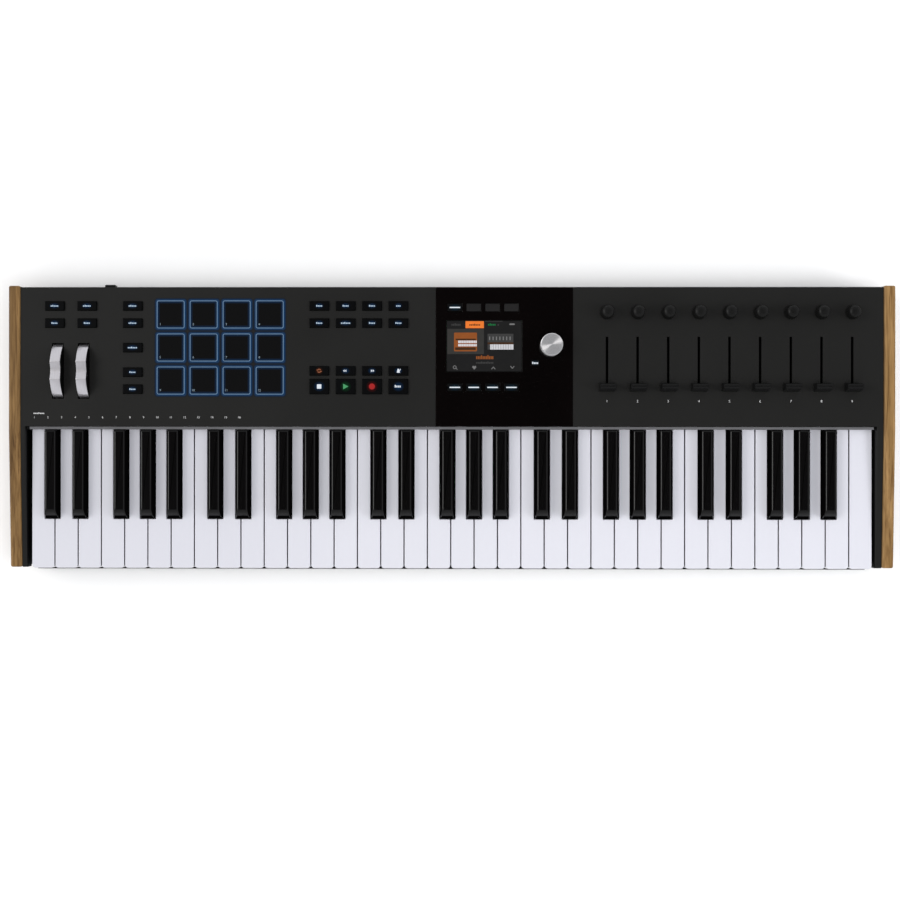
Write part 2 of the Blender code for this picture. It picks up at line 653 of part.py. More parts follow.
def white_limits(note, octave_left):
    """Left and right of a white key's head, then of its tail between the black keys."""
    left = octave_left + note * KEY_PITCH + KEY_GAP / 2
    right = left + KEY_PITCH - KEY_GAP
    tail_left = left
    tail_right = right
    for centre in SHARP_CENTRES:
        sharp_left = octave_left + centre * KEY_PITCH - BLACK_WIDTH / 2 - BLACK_CLEARANCE
        sharp_right = octave_left + centre * KEY_PITCH + BLACK_WIDTH / 2 + BLACK_CLEARANCE
        if sharp_left < left < sharp_right:
            tail_left = sharp_right
        if sharp_left < right < sharp_right:
            tail_right = sharp_left
    return left, right, tail_left, tail_right


def white_outline(limits, inset=0.0):
    left, right, tail_left, tail_right = limits
    neck_y = BLACK_FRONT_Y - BLACK_CLEARANCE - inset
    front = FRONT_Y + inset
    back = WHITE_BACK_Y if inset == 0 else TAIL_FRONT_Y
    points = [(left + inset, front), (right - inset, front)]
    if tail_right < right:
        points.append((right - inset, neck_y))
        points.append((tail_right - inset, neck_y))
    points.append((tail_right - inset, back))
    points.append((tail_left + inset, back))
    if tail_left > left:
        points.append((tail_left + inset, neck_y))
        points.append((left + inset, neck_y))
    return points


def white_key(limits, rail_z):
    """A white key's solids and the hollow under it."""
    bottom = WHITE_TOP - WHITE_DEPTH
    tail = (limits[2], limits[3])
    solids = [
        outline(white_outline(limits), bottom, WHITE_TOP),
        box(grown(tail, -HAIR), (TAIL_FRONT_Y, TAIL_BACK_Y), (bottom + HAIR, TAIL_TOP)),
        box(grown(tail, -2 * HAIR), ARM_TO_RAIL_Y, (rail_z, rail_z + RAIL_HEIGHT)),
    ]
    hollow = outline(white_outline(limits, 1.6 * MM), bottom - MM, WHITE_TOP - KEY_SKIN)
    return solids, hollow


def black_key(centre, rail_z):
    """A black key's solids and the hollow under it."""
    half = BLACK_WIDTH / 2
    draw = (BLACK_WIDTH - BLACK_TOP_WIDTH) / 2
    x = (centre - half, centre + half)
    tail = grown(x, -1.2 * MM)
    solids = [
        box(x, (BLACK_FRONT_Y, BLACK_BACK_Y), (BLACK_BOTTOM, BLACK_SHOULDER)),
        tapered_box(x, (BLACK_FRONT_Y, BLACK_BACK_Y), (BLACK_SHOULDER, BLACK_TOP), draw, front=BLACK_SLOPE),
        box(tail, (TAIL_FRONT_Y, TAIL_BACK_Y), (BLACK_BOTTOM + HAIR, TAIL_TOP)),
        box(grown(tail, -HAIR), ARM_TO_RAIL_Y, (rail_z, rail_z + RAIL_HEIGHT)),
    ]
    hollow_y = (BLACK_FRONT_Y + KEY_SKIN, TAIL_FRONT_Y)
    hollow = box(grown(x, -KEY_SKIN), hollow_y, (BLACK_BOTTOM - MM, BLACK_SHOULDER - MM))
    return solids, hollow


def make_key_comb(name, material, keys, rail_z):
    """Keys moulded on one rail. Each entry of keys is (left, right, solids, hollow)."""
    rail_x = (min(key[0] for key in keys), max(key[1] for key in keys))
    solids = [box(rail_x, (RAIL_FRONT_Y, RAIL_BACK_Y), (rail_z - HAIR, rail_z + RAIL_HEIGHT + HAIR))]
    for key in keys:
        solids += key[2]
    piece(name, material, solids, [key[3] for key in keys], origin=(0, PIVOT_Y, PIVOT_Z))


def make_keys(white, black):
    for octave in range(OCTAVES):
        octave_left = KEYS_LEFT + octave * OCTAVE_WIDTH
        for comb, notes in COMB_WHITES.items():
            rail_z = RAIL_BOTTOMS[comb]
            keys = []
            for note in notes:
                limits = white_limits(note, octave_left)
                keys.append((limits[2], limits[3], *white_key(limits, rail_z)))
            make_key_comb(f"keys_{comb}_{octave + 1}", white, keys, rail_z)
        keys = []
        for sharp in SHARP_CENTRES:
            centre = octave_left + sharp * KEY_PITCH
            half = BLACK_WIDTH / 2
            keys.append((centre - half, centre + half, *black_key(centre, RAIL_BOTTOMS["black"])))
        make_key_comb(f"keys_black_{octave + 1}", black, keys, RAIL_BOTTOMS["black"])
    left = KEYS_LEFT + OCTAVES * OCTAVE_WIDTH + KEY_GAP / 2
    limits = (left, left + KEY_PITCH - KEY_GAP, left, left + KEY_PITCH - KEY_GAP)
    rail_z = RAIL_BOTTOMS["ceg_b"]
    make_key_comb("key_top_c", white, [(limits[2], limits[3], *white_key(limits, rail_z))], rail_z)


def make_mat(name, material, places, webs, top):
    """Buttons or pads moulded on one silicone web. A web is a box in X and Y."""
    solids = [box(x, y, (MAT_BOTTOM, MAT_TOP)) for x, y in webs[:1]]
    inset = HAIR
    for x, y in webs[1:]:
        solids.append(box(x, y, (MAT_BOTTOM + inset, MAT_TOP - inset)))
    for x, y, size in places:
        solids.append(centred_box(x, y, size, (MAT_BOTTOM + 2 * inset, top)))
    centre = (places[0][0], places[0][1], MAT_BOTTOM)
    piece(name, material, solids, origin=centre)


def make_left_buttons(material):
    half_x = BUTTON_SIZE[0] / 2 + MAT_BORDER
    half_y = BUTTON_SIZE[1] / 2 + MAT_BORDER
    top_y = TOP_ROW_Y + half_y
    webs = [
        ((LEFT_BUTTON_XS[0] - half_x, MODE_X + half_x), (SECOND_ROW_Y - half_y, top_y)),
        ((MODE_X - half_x + HAIR, MODE_X + half_x - HAIR), (MODE_YS[-1] - half_y, top_y - HAIR)),
    ]
    make_mat("left_buttons", material, left_button_places(), webs, BUTTON_TOP)


def make_transport_buttons(material):
    half_x = BUTTON_SIZE[0] / 2 + MAT_BORDER
    web = (
        (transport_x(0) - half_x, transport_x(TRANSPORT_COLUMNS - 1) + half_x),
        (PLAY_ROW_Y - PLAY_BUTTON_SIZE[1] / 2 - MAT_BORDER, TOP_ROW_Y + BUTTON_SIZE[1] / 2 + MAT_BORDER),
    )
    make_mat("transport_buttons", material, transport_places(), [web], BUTTON_TOP)


def make_display_buttons(material):
    half_x = CONTEXT_SIZE[0] / 2 + CONTEXT_BORDER
    half_y = CONTEXT_SIZE[1] / 2 + CONTEXT_BORDER
    left = context_x(0) - half_x
    link = (BACK_BUTTON[0] - 6 * MM, BACK_BUTTON[0] + 5 * MM)
    top, bottom = CONTEXT_YS
    webs = [
        ((left, link[1]), (top - half_y, top + half_y)),
        ((left, link[1] - HAIR), (bottom - half_y, bottom + half_y)),
        ((link[0], link[1] - 2 * HAIR), (bottom - half_y + HAIR, top + half_y - HAIR)),
    ]
    make_mat("display_buttons", material, display_button_places(), webs, CONTEXT_TOP)


def make_pads(material):
    half = PAD_SIZE / 2 + PAD_WEB_BORDER
    for row in range(PAD_ROWS):
        places = pad_places(row)
        y = places[0][1]
        web = ((places[0][0] - half, places[-1][0] + half), (y - half, y + half))
        make_mat(f"pads_row_{row + 1}", material, places, [web], PAD_TOP)


def make_wheel(name, x, material):
    """A wheel cut flat below its axle, with a thumb scoop across the top of its rim."""
    points = []
    for step in range(WHEEL_STEPS + 1):
        angle = -WHEEL_ARC + 2 * WHEEL_ARC * step / WHEEL_STEPS
        points.append((
            WHEEL_Y - WHEEL_RADIUS * math.sin(angle), WHEEL_Z + WHEEL_RADIUS * math.cos(angle),
        ))
    disc = outline(points, x - WHEEL_WIDTH / 2, x + WHEEL_WIDTH / 2, "X")
    axle_length = WHEEL_WIDTH + 2 * (POST_INSET + POST_THICKNESS - 0.5 * MM)
    axle = cylinder(AXLE_RADIUS, (x - axle_length / 2, WHEEL_Y, WHEEL_Z), axle_length, "X", SMALL_STEPS)
    scoop_z = WHEEL_Z + WHEEL_RADIUS - SCOOP_DEPTH + SCOOP_RADIUS
    scoop = cylinder(SCOOP_RADIUS, (x - WHEEL_WIDTH, WHEEL_Y, scoop_z), 2 * WHEEL_WIDTH, "X", SCOOP_STEPS)
    piece(name, material, [disc, axle], [scoop], origin=(x, WHEEL_Y, WHEEL_Z), smooth=True)


def make_knobs(material):
    base = PANEL_TOP + 0.6 * MM
    for index in range(STRIPS):
        profile = [
            (0, KNOB_TOP), (KNOB_TOP_RADIUS - 0.8 * MM, KNOB_TOP), (KNOB_TOP_RADIUS, KNOB_TOP - 0.8 * MM),
            (KNOB_RADIUS, base + 1.5 * MM), (KNOB_RADIUS, base), (SHAFT_RADIUS, base),
            (SHAFT_RADIUS, SHAFT_BOTTOM), (0, SHAFT_BOTTOM),
        ]
        centre = (strip_x(index), KNOB_Y)
        knob = turned(profile, centre, KNOB_STEPS)
        piece(f"knob_{index + 1}", material, [knob], origin=(*centre, base), smooth=True)


def make_faders(material):
    base = PANEL_TOP + 0.6 * MM
    for index in range(STRIPS):
        x = strip_x(index)
        side = (FADER_CAP[0] - FADER_CAP_TOP[0]) / 2
        slope = FADER_CAP[1] - FADER_CAP_TOP[1]
        cap = tapered_box(
            span(x, FADER_CAP[0]), span(FADER_Y, FADER_CAP[1]), (base, FADER_TOP),
            side, front=slope * 0.7, back=slope * 0.3,
        )
        stem = centred_box(x, FADER_Y, (1.6 * MM, 4.0 * MM), (SHAFT_BOTTOM, base + MM))
        piece(f"fader_{index + 1}", material, [cap, stem], origin=(x, FADER_Y, base))


def make_encoder(metal, steel):
    base = PANEL_TOP + 1.2 * MM
    bore = SHAFT_RADIUS + GAP
    roof = ENCODER_TOP - 3 * MM
    profile = [
        (0, ENCODER_TOP), (ENCODER_RADIUS - 0.6 * MM, ENCODER_TOP), (ENCODER_RADIUS, ENCODER_TOP - 0.6 * MM),
        (ENCODER_RADIUS, base), (bore, base), (bore, roof), (0, roof),
    ]
    knob = turned(profile, ENCODER, ENCODER_STEPS)
    piece("encoder_knob", metal, [knob], origin=(*ENCODER, base), smooth=True)
    shaft = cylinder(SHAFT_RADIUS, (*ENCODER, SHAFT_BOTTOM), roof - GAP - SHAFT_BOTTOM)
    piece("encoder_shaft", steel, [shaft], origin=(*ENCODER, SHAFT_BOTTOM), smooth=True)


def make_power_switch(material):
    plunger_y = (POWER_FRONT_Y, POWER_BACK_Y)
    plunger = box(span(POWER_X, POWER_SIZE[0]), plunger_y, span(SOCKET_Z, POWER_SIZE[1]))
    rounded = bevelled(plunger, 0.8 * MM, lambda a, b: min(a.y, b.y) > POWER_BACK_Y - MM)
    piece("power_switch", material, [rounded], origin=(POWER_X, POWER_BACK_Y, SOCKET_Z))


def make_feet(material):
    corners = [(side * FOOT_X, y) for y in FOOT_YS for side in (-1, 1)]
    for number, (x, y) in enumerate(corners, start=1):
        foot = cylinder(FOOT_RADIUS, (x, y, 0), FOOT_HEIGHT - GAP, top_radius=FOOT_RADIUS + FOOT_FLARE)
        piece(f"foot_{number}", material, [foot], smooth=True)


def build():
    dark_metal = make_material("dark_metal", (0.035, 0.034, 0.033), 0.55, 0.4)
    case_steel = make_material("case_steel", (0.03, 0.03, 0.03), 0.6, 0.3)
    gloss_black = make_material("gloss_black", (0.004, 0.004, 0.005), 0.08)
    wood = make_material("wood", (0.36, 0.19, 0.08), 0.45)
    rubber = make_material("rubber", (0.01, 0.01, 0.01), 0.85)
    silicone = make_material("silicone", (0.008, 0.008, 0.009), 0.6)
    board = make_material("board", (0.01, 0.09, 0.03), 0.5)
    chassis = make_material("chassis", (0.35, 0.35, 0.36), 0.5, 0.6)
    white = make_material("key_white", (0.75, 0.76, 0.80), 0.25)
    black = make_material("key_black", (0.006, 0.006, 0.007), 0.12)
    strip_grey = make_material("strip_grey", (0.42, 0.42, 0.44), 0.5)
    brushed = make_material("brushed_aluminium", (0.75, 0.75, 0.77), 0.3, 1.0)
    glass = make_material("display_glass", (0.01, 0.012, 0.015), 0.05)
    knob_plastic = make_material("knob_plastic", (0.02, 0.02, 0.02), 0.5)

    make_bottom_case(case_steel)
    make_top_panel(dark_metal)
    make_centre_panel(gloss_black)
    make_cheeks(wood)
    strip_x = (LEFT_ARM_INNER_X + GAP, RIGHT_ARM_INNER_X - GAP)
    strip = box(strip_x, (STRIP_FRONT_Y, PANEL_FRONT_Y - GAP), STRIP_Z)
    piece("nameboard_strip", strip_grey, [strip])
    make_keybed_frame(chassis)
    make_key_contact_board(board)
    make_main_board(board)
    make_io_board(board)
    piece("display_module", glass, [box(DISPLAY_X, DISPLAY_Y, (DISPLAY_BOTTOM, PANEL_TOP - 2 * GAP))])
    make_feet(rubber)
    make_keys(white, black)
    make_wheel("pitch_wheel", WHEEL_XS[0], brushed)
    make_wheel("mod_wheel", WHEEL_XS[1], brushed)
    make_left_buttons(silicone)
    make_transport_buttons(silicone)
    make_display_buttons(silicone)
    make_pads(silicone)
    make_knobs(knob_plastic)
    make_faders(knob_plastic)
    make_encoder(brushed, chassis)
    make_power_switch(knob_plastic)


clear_scene()
PARTS = new_collection("keyboard_controller")
build()
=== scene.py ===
"""The looks of a 61-key keyboard controller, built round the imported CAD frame.

Every piece is modelled in place, in the frame's own metres, and rides on the CAD body it belongs to.
Lengths are written in millimetres, times MM. The keyboard runs along X and the player sits at -Y.
"""
import math

import bmesh
import bpy
from mathutils import Matrix, Vector


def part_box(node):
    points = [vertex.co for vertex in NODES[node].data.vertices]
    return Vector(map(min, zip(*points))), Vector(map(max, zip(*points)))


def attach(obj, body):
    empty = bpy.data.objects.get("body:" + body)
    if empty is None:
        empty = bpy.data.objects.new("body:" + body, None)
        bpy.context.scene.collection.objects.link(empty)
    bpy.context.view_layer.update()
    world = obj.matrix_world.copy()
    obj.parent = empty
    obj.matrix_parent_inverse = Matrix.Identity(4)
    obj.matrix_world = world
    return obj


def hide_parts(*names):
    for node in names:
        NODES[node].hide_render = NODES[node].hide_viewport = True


MM = 0.001

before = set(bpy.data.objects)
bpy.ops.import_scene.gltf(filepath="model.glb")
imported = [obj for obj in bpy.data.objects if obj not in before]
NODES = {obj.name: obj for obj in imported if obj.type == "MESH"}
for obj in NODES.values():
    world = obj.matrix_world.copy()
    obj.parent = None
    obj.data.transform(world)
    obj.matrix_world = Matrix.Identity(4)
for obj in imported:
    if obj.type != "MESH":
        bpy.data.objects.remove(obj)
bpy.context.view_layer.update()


# ------------------------------------------------------------------ where things are

def limits(node):
    """A node's (low, high) on X, on Y and on Z."""
    low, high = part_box(node)
    return tuple((low[axis], high[axis]) for axis in range(3))


def middle(node):
    """The centre of a node's box."""
    low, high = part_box(node)
    return (low + high) / 2


def span(centre, width):
    return centre - width / 2, centre + width / 2


def grown(pair, by):
    return pair[0] - by, pair[1] + by


PANEL_TOP = limits("centre_panel")[2][1]
CASE_BACK = limits("bottom_case")[1][1]
CASE_UNDER = limits("bottom_case")[2][0]

KEY_PITCH = 23.5 * MM
KEY_GAP = 1.0 * MM
KEYS_LEFT = limits("keys_ceg_b_1")[0][0] - KEY_GAP / 2
WHITE_FRONT, RAIL_BACK = limits("key_top_c")[1]
WHITE_TOP = limits("key_top_c")[2][1]
WHITE_BACK = -1.3 * MM
WHITE_HEIGHT = 20.0 * MM
WHITE_CORNER = 3.0 * MM
WHITE_EDGE = 0.7 * MM
BLACK_WIDTH = 14.2 * MM
BLACK_TOP_WIDTH = 10.6 * MM
BLACK_CLEARANCE = 0.9 * MM
BLACK_CORNER = 1.3 * MM
BLACK_EDGE = 1.9 * MM
BLACK_FRONT = limits("keys_black_1")[1][0]
BLACK_TOP = limits("keys_black_1")[2][1]
BLACK_LENGTH = 89.0 * MM
BLACK_HEIGHT = 24.0 * MM
TAIL_FRONT = -14.0 * MM
TAIL_TOP = 47.5 * MM
OCTAVES = 5
# The middle of each black key, in white keys from the octave's left edge. C to E and F to B are cut
# at the back into 5 and 7 equal parts.
SHARP_CENTRES = (3 * 1.5 / 5, 3 * 3.5 / 5, 3 + 4 * 1.5 / 7, 3 + 4 * 3.5 / 7, 3 + 4 * 5.5 / 7)

BUTTON = (19.2 * MM, 8.9 * MM)
LEFT_XS = (-397.1 * MM, -364.6 * MM)
TOP_ROW = 119.6 * MM
SECOND_ROW = 102.4 * MM
MODE_X = -318.8 * MM
MODE_YS = (TOP_ROW, SECOND_ROW, 77.8 * MM, 53.2 * MM, 36.2 * MM)
TRANSPORT_X = -131.6 * MM
TRANSPORT_PITCH = 26.4 * MM
ICON_ROW = 54.6 * MM
PLAY_ROW = 38.9 * MM
PLAY_BUTTON = (19.2 * MM, 14.8 * MM)
MAT_THICKNESS = 1.5 * MM
MAT_BORDER = 3.0 * MM
CAP_EDGE = 0.55 * MM
PAD = 28.9 * MM
PAD_PITCH = 33.1 * MM
PAD_X = -280.55 * MM
PAD_Y = 111.0 * MM
PAD_ROWS = 3
PAD_COLUMNS = 4
FRAME_WIDTH = 0.75 * MM
FRAME_CORNER = 2.0 * MM
GLOW_WIDTH = 2.2 * MM
FRAME_OUTSIDE = 27.9 * MM
CONTEXT = (14.3 * MM, 7.6 * MM)
CONTEXT_CORNER = 0.9 * MM
CONTEXT_X = 4.1 * MM
CONTEXT_PITCH = 18.85 * MM
CONTEXT_ROWS = (118.0 * MM, 38.1 * MM)
BACK_BUTTON = (84.3 * MM, 62.6 * MM)
BACK_BUTTON_SIZE = (8.0 * MM, 5.6 * MM)
STRIPS = 9                            # knobs, each with a fader
CAP_CLEARANCE = 0.6 * MM              # between the panel and a knob or fader cap
LIP_TOP = 18.5 * MM
LIP_REACH = 3.2 * MM                  # past the front of the white keys
WHEEL_RIM = 10.0 * MM
ENCODER_WIDTH = 22.0 * MM
SOCKET_Z = 31.0 * MM
JACK_XS = (-186.0 * MM, -160.0 * MM, -134.0 * MM, -108.0 * MM, -82.0 * MM)
MIDI_XS = (-252.0 * MM, -222.0 * MM)
MIDI_FLOOR = 128.1 * MM
MIDI_FACE = 130.2 * MM
DEEP_FLOOR = 126.1 * MM
DC_X = -312.0 * MM
USB_X = -286.0 * MM


# ------------------------------------------------------------------ materials

def set_inputs(node, values):
    """Sets a shader node's inputs, whose names have underscores for spaces."""
    for socket, value in values.items():
        node.inputs[socket.replace("_", " ")].default_value = value


def new_node(tree, kind, **values):
    node = tree.nodes.new(f"ShaderNode{kind}")
    set_inputs(node, values)
    return node


def new_material(name, roughness, metallic=0.0, **values):
    """A material with a Principled shader."""
    material = bpy.data.materials.new(name)
    material.use_nodes = True
    tree = material.node_tree
    shader = tree.nodes["Principled BSDF"]
    set_inputs(shader, {"Roughness": roughness, "Metallic": metallic, **values})
    return material, tree, shader


def coordinates(tree, scale=(1, 1, 1), rotation=(0, 0, 0)):
    """Object coordinates in metres, stretched by scale."""
    source = new_node(tree, "TexCoord")
    mapping = new_node(tree, "Mapping", Scale=scale, Rotation=rotation)
    tree.links.new(source.outputs["Object"], mapping.inputs["Vector"])
    return mapping.outputs["Vector"]


def noise(tree, vector, scale, detail=3.0, roughness=0.5, distortion=0.0):
    texture = {"Scale": scale, "Detail": detail, "Roughness": roughness, "Distortion": distortion}
    node = new_node(tree, "TexNoise", **texture)
    tree.links.new(vector, node.inputs["Vector"])
    return node.outputs["Fac"]


def ramp(tree, value, stops):
    """A colour ramp over (position, colour) stops."""
    node = new_node(tree, "ValToRGB")
    elements = node.color_ramp.elements
    while len(elements) < len(stops):
        elements.new(0.5)
    for element, (position, color) in zip(elements, stops):
        element.position = position
        element.color = (*color, 1.0)
    tree.links.new(value, node.inputs["Fac"])
    return node.outputs["Color"]


def spread(tree, value, low, high):
    """Maps 0 to 1 onto low to high."""
    node = new_node(tree, "MapRange", To_Min=low, To_Max=high)
    tree.links.new(value, node.inputs["Value"])
    return node.outputs["Result"]


def multiplied(tree, first, second):
    """Two colours multiplied. A Mix node's colour sockets are found by place, as their names repeat."""
    node = new_node(tree, "Mix")
    node.data_type = "RGBA"
    node.blend_type = "MULTIPLY"
    node.inputs[0].default_value = 1.0
    tree.links.new(first, node.inputs[6])
    tree.links.new(second, node.inputs[7])
    return node.outputs[2]


def bump(tree, shader, height, distance, strength=1.0):
    node = new_node(tree, "Bump", Strength=strength, Distance=distance)
    tree.links.new(height, node.inputs["Height"])
    tree.links.new(node.outputs["Normal"], shader.inputs["Normal"])


def scaled(color, factor):
    return tuple(channel * factor for channel in color)


def grained(name, color, roughness, grain=900, depth=0.02 * MM, vary=0.12, specular=0.5):
    """Moulded or coated stuff, with a fine grain in its colour, roughness and surface."""
    material, tree, shader = new_material(name, roughness, Specular_IOR_Level=specular)
    vector = coordinates(tree)
    fine = noise(tree, vector, grain, 2.0)
    broad = noise(tree, vector, 14, 2.0)
    both = new_node(tree, "Math")
    both.operation = "ADD"
    tree.links.new(fine, both.inputs[0])
    tree.links.new(broad, both.inputs[1])
    half = new_node(tree, "Math")
    half.operation = "MULTIPLY"
    half.inputs[1].default_value = 0.5
    tree.links.new(both.outputs["Value"], half.inputs[0])
    stops = [(0.3, scaled(color, 1 - vary)), (0.7, scaled(color, 1 + vary))]
    tree.links.new(ramp(tree, half.outputs["Value"], stops), shader.inputs["Base Color"])
    tree.links.new(spread(tree, broad, roughness * 0.88, roughness * 1.12), shader.inputs["Roughness"])
    bump(tree, shader, fine, depth)
    return material


def haloed(name, color, specular, glow, strength):
    """A grained surface that light spills on, brightest where the piece's UV is zero, fading to one."""
    material = grained(name, color, 0.5, specular=specular)
    tree = material.node_tree
    shader = tree.nodes["Principled BSDF"]
    source = new_node(tree, "TexCoord")
    length = new_node(tree, "VectorMath")
    length.operation = "LENGTH"
    tree.links.new(source.outputs["UV"], length.inputs[0])
    falloff = ((0.0, 1.0), (0.35, 0.5), (0.7, 0.2), (1.0, 0.05))
    stops = [(distance, scaled(glow, share)) for distance, share in falloff]
    tree.links.new(ramp(tree, length.outputs["Value"], stops), shader.inputs["Emission Color"])
    shader.inputs["Emission Strength"].default_value = strength
    return material


def make_wood():
    """Oiled oak: long grain in Y, with darker pores and slow bands of colour."""
    material, tree, shader = new_material("cheek_wood", 0.45, Specular_IOR_Level=0.2)
    bands = noise(tree, coordinates(tree, (14, 2.0, 14), (0.05, 0.0, 0.06)), 3.2, 4.0, 0.55, 0.6)
    fibres = noise(tree, coordinates(tree, (110, 4.0, 110), (0.03, 0.0, 0.09)), 5.0, 5.0, 0.62)
    pores = noise(tree, coordinates(tree, (420, 11, 420), (0.02, 0.0, 0.05)), 4.0, 2.0, 0.5)
    stops = [(0.34, (0.125, 0.068, 0.024)), (0.5, (0.225, 0.130, 0.048)), (0.66, (0.315, 0.188, 0.076))]
    base = ramp(tree, bands, stops)
    streaks = ramp(tree, fibres, [(0.38, (0.58, 0.53, 0.48)), (0.56, (1.0, 1.0, 1.0))])
    dots = ramp(tree, pores, [(0.30, (0.60, 0.53, 0.48)), (0.42, (1.0, 1.0, 1.0))])
    color = multiplied(tree, multiplied(tree, base, streaks), dots)
    tree.links.new(color, shader.inputs["Base Color"])
    tree.links.new(spread(tree, fibres, 0.36, 0.52), shader.inputs["Roughness"])
    bump(tree, shader, fibres, 0.06 * MM, 0.6)
    return material


def brushed(name, color, roughness, stretch, depth=0.004 * MM, contrast=0.2):
    """Metal with hairlines, which run along the axis that is stretched least."""
    material, tree, shader = new_material(name, roughness, 1.0)
    lines = noise(tree, coordinates(tree, stretch), 5.0, 4.0, 0.7)
    stops = [(0.3, scaled(color, 1 - contrast)), (0.7, color)]
    tree.links.new(ramp(tree, lines, stops), shader.inputs["Base Color"])
    tree.links.new(spread(tree, lines, roughness * 0.75, roughness * 1.25), shader.inputs["Roughness"])
    bump(tree, shader, lines, depth)
    return material


def make_spun_metal():
    """Turned aluminium: fine spiral grooves round the knob's own axis fan the light out."""
    groove_turn = 0.18                # in turns: a quarter would be rings round the axis
    grooves = {"Anisotropic": 0.94, "Anisotropic_Rotation": groove_turn}
    material, tree, shader = new_material("spun_aluminium", 0.42, 1.0, **grooves)
    fine = noise(tree, coordinates(tree), 700, 2.0)
    color = (0.95, 0.94, 0.95)
    stops = [(0.3, scaled(color, 0.92)), (0.7, scaled(color, 1.05))]
    tree.links.new(ramp(tree, fine, stops), shader.inputs["Base Color"])
    tangent = new_node(tree, "Tangent")
    tangent.direction_type = "RADIAL"
    tangent.axis = "Z"
    tree.links.new(tangent.outputs["Tangent"], shader.inputs["Tangent"])
    return material


def glowing(name, color):
    """A lamp or a lit spot on the screen: its light is a little uneven."""
    dark = (0.002, 0.002, 0.002, 1.0)
    lamp = {"Specular_IOR_Level": 0.04, "Base_Color": dark, "Emission_Strength": 1.0}
    material, tree, shader = new_material(name, 0.35, **lamp)
    cloud = noise(tree, coordinates(tree), 160, 1.0)
    stops = [(0.25, scaled(color, 0.88)), (0.75, color)]
    tree.links.new(ramp(tree, cloud, stops), shader.inputs["Emission Color"])
    return material


def make_circuit_board():
    """Solder mask over fine tracks."""
    material, tree, shader = new_material("solder_mask", 0.35)
    greens = {"Color1": (0.012, 0.085, 0.03, 1), "Color2": (0.014, 0.10, 0.035, 1)}
    track_color = (0.03, 0.17, 0.06, 1)
    tracks = new_node(tree, "TexBrick", Scale=60, Mortar_Size=0.018, Mortar=track_color, **greens)
    tree.links.new(coordinates(tree), tracks.inputs["Vector"])
    tree.links.new(tracks.outputs["Color"], shader.inputs["Base Color"])
    return material


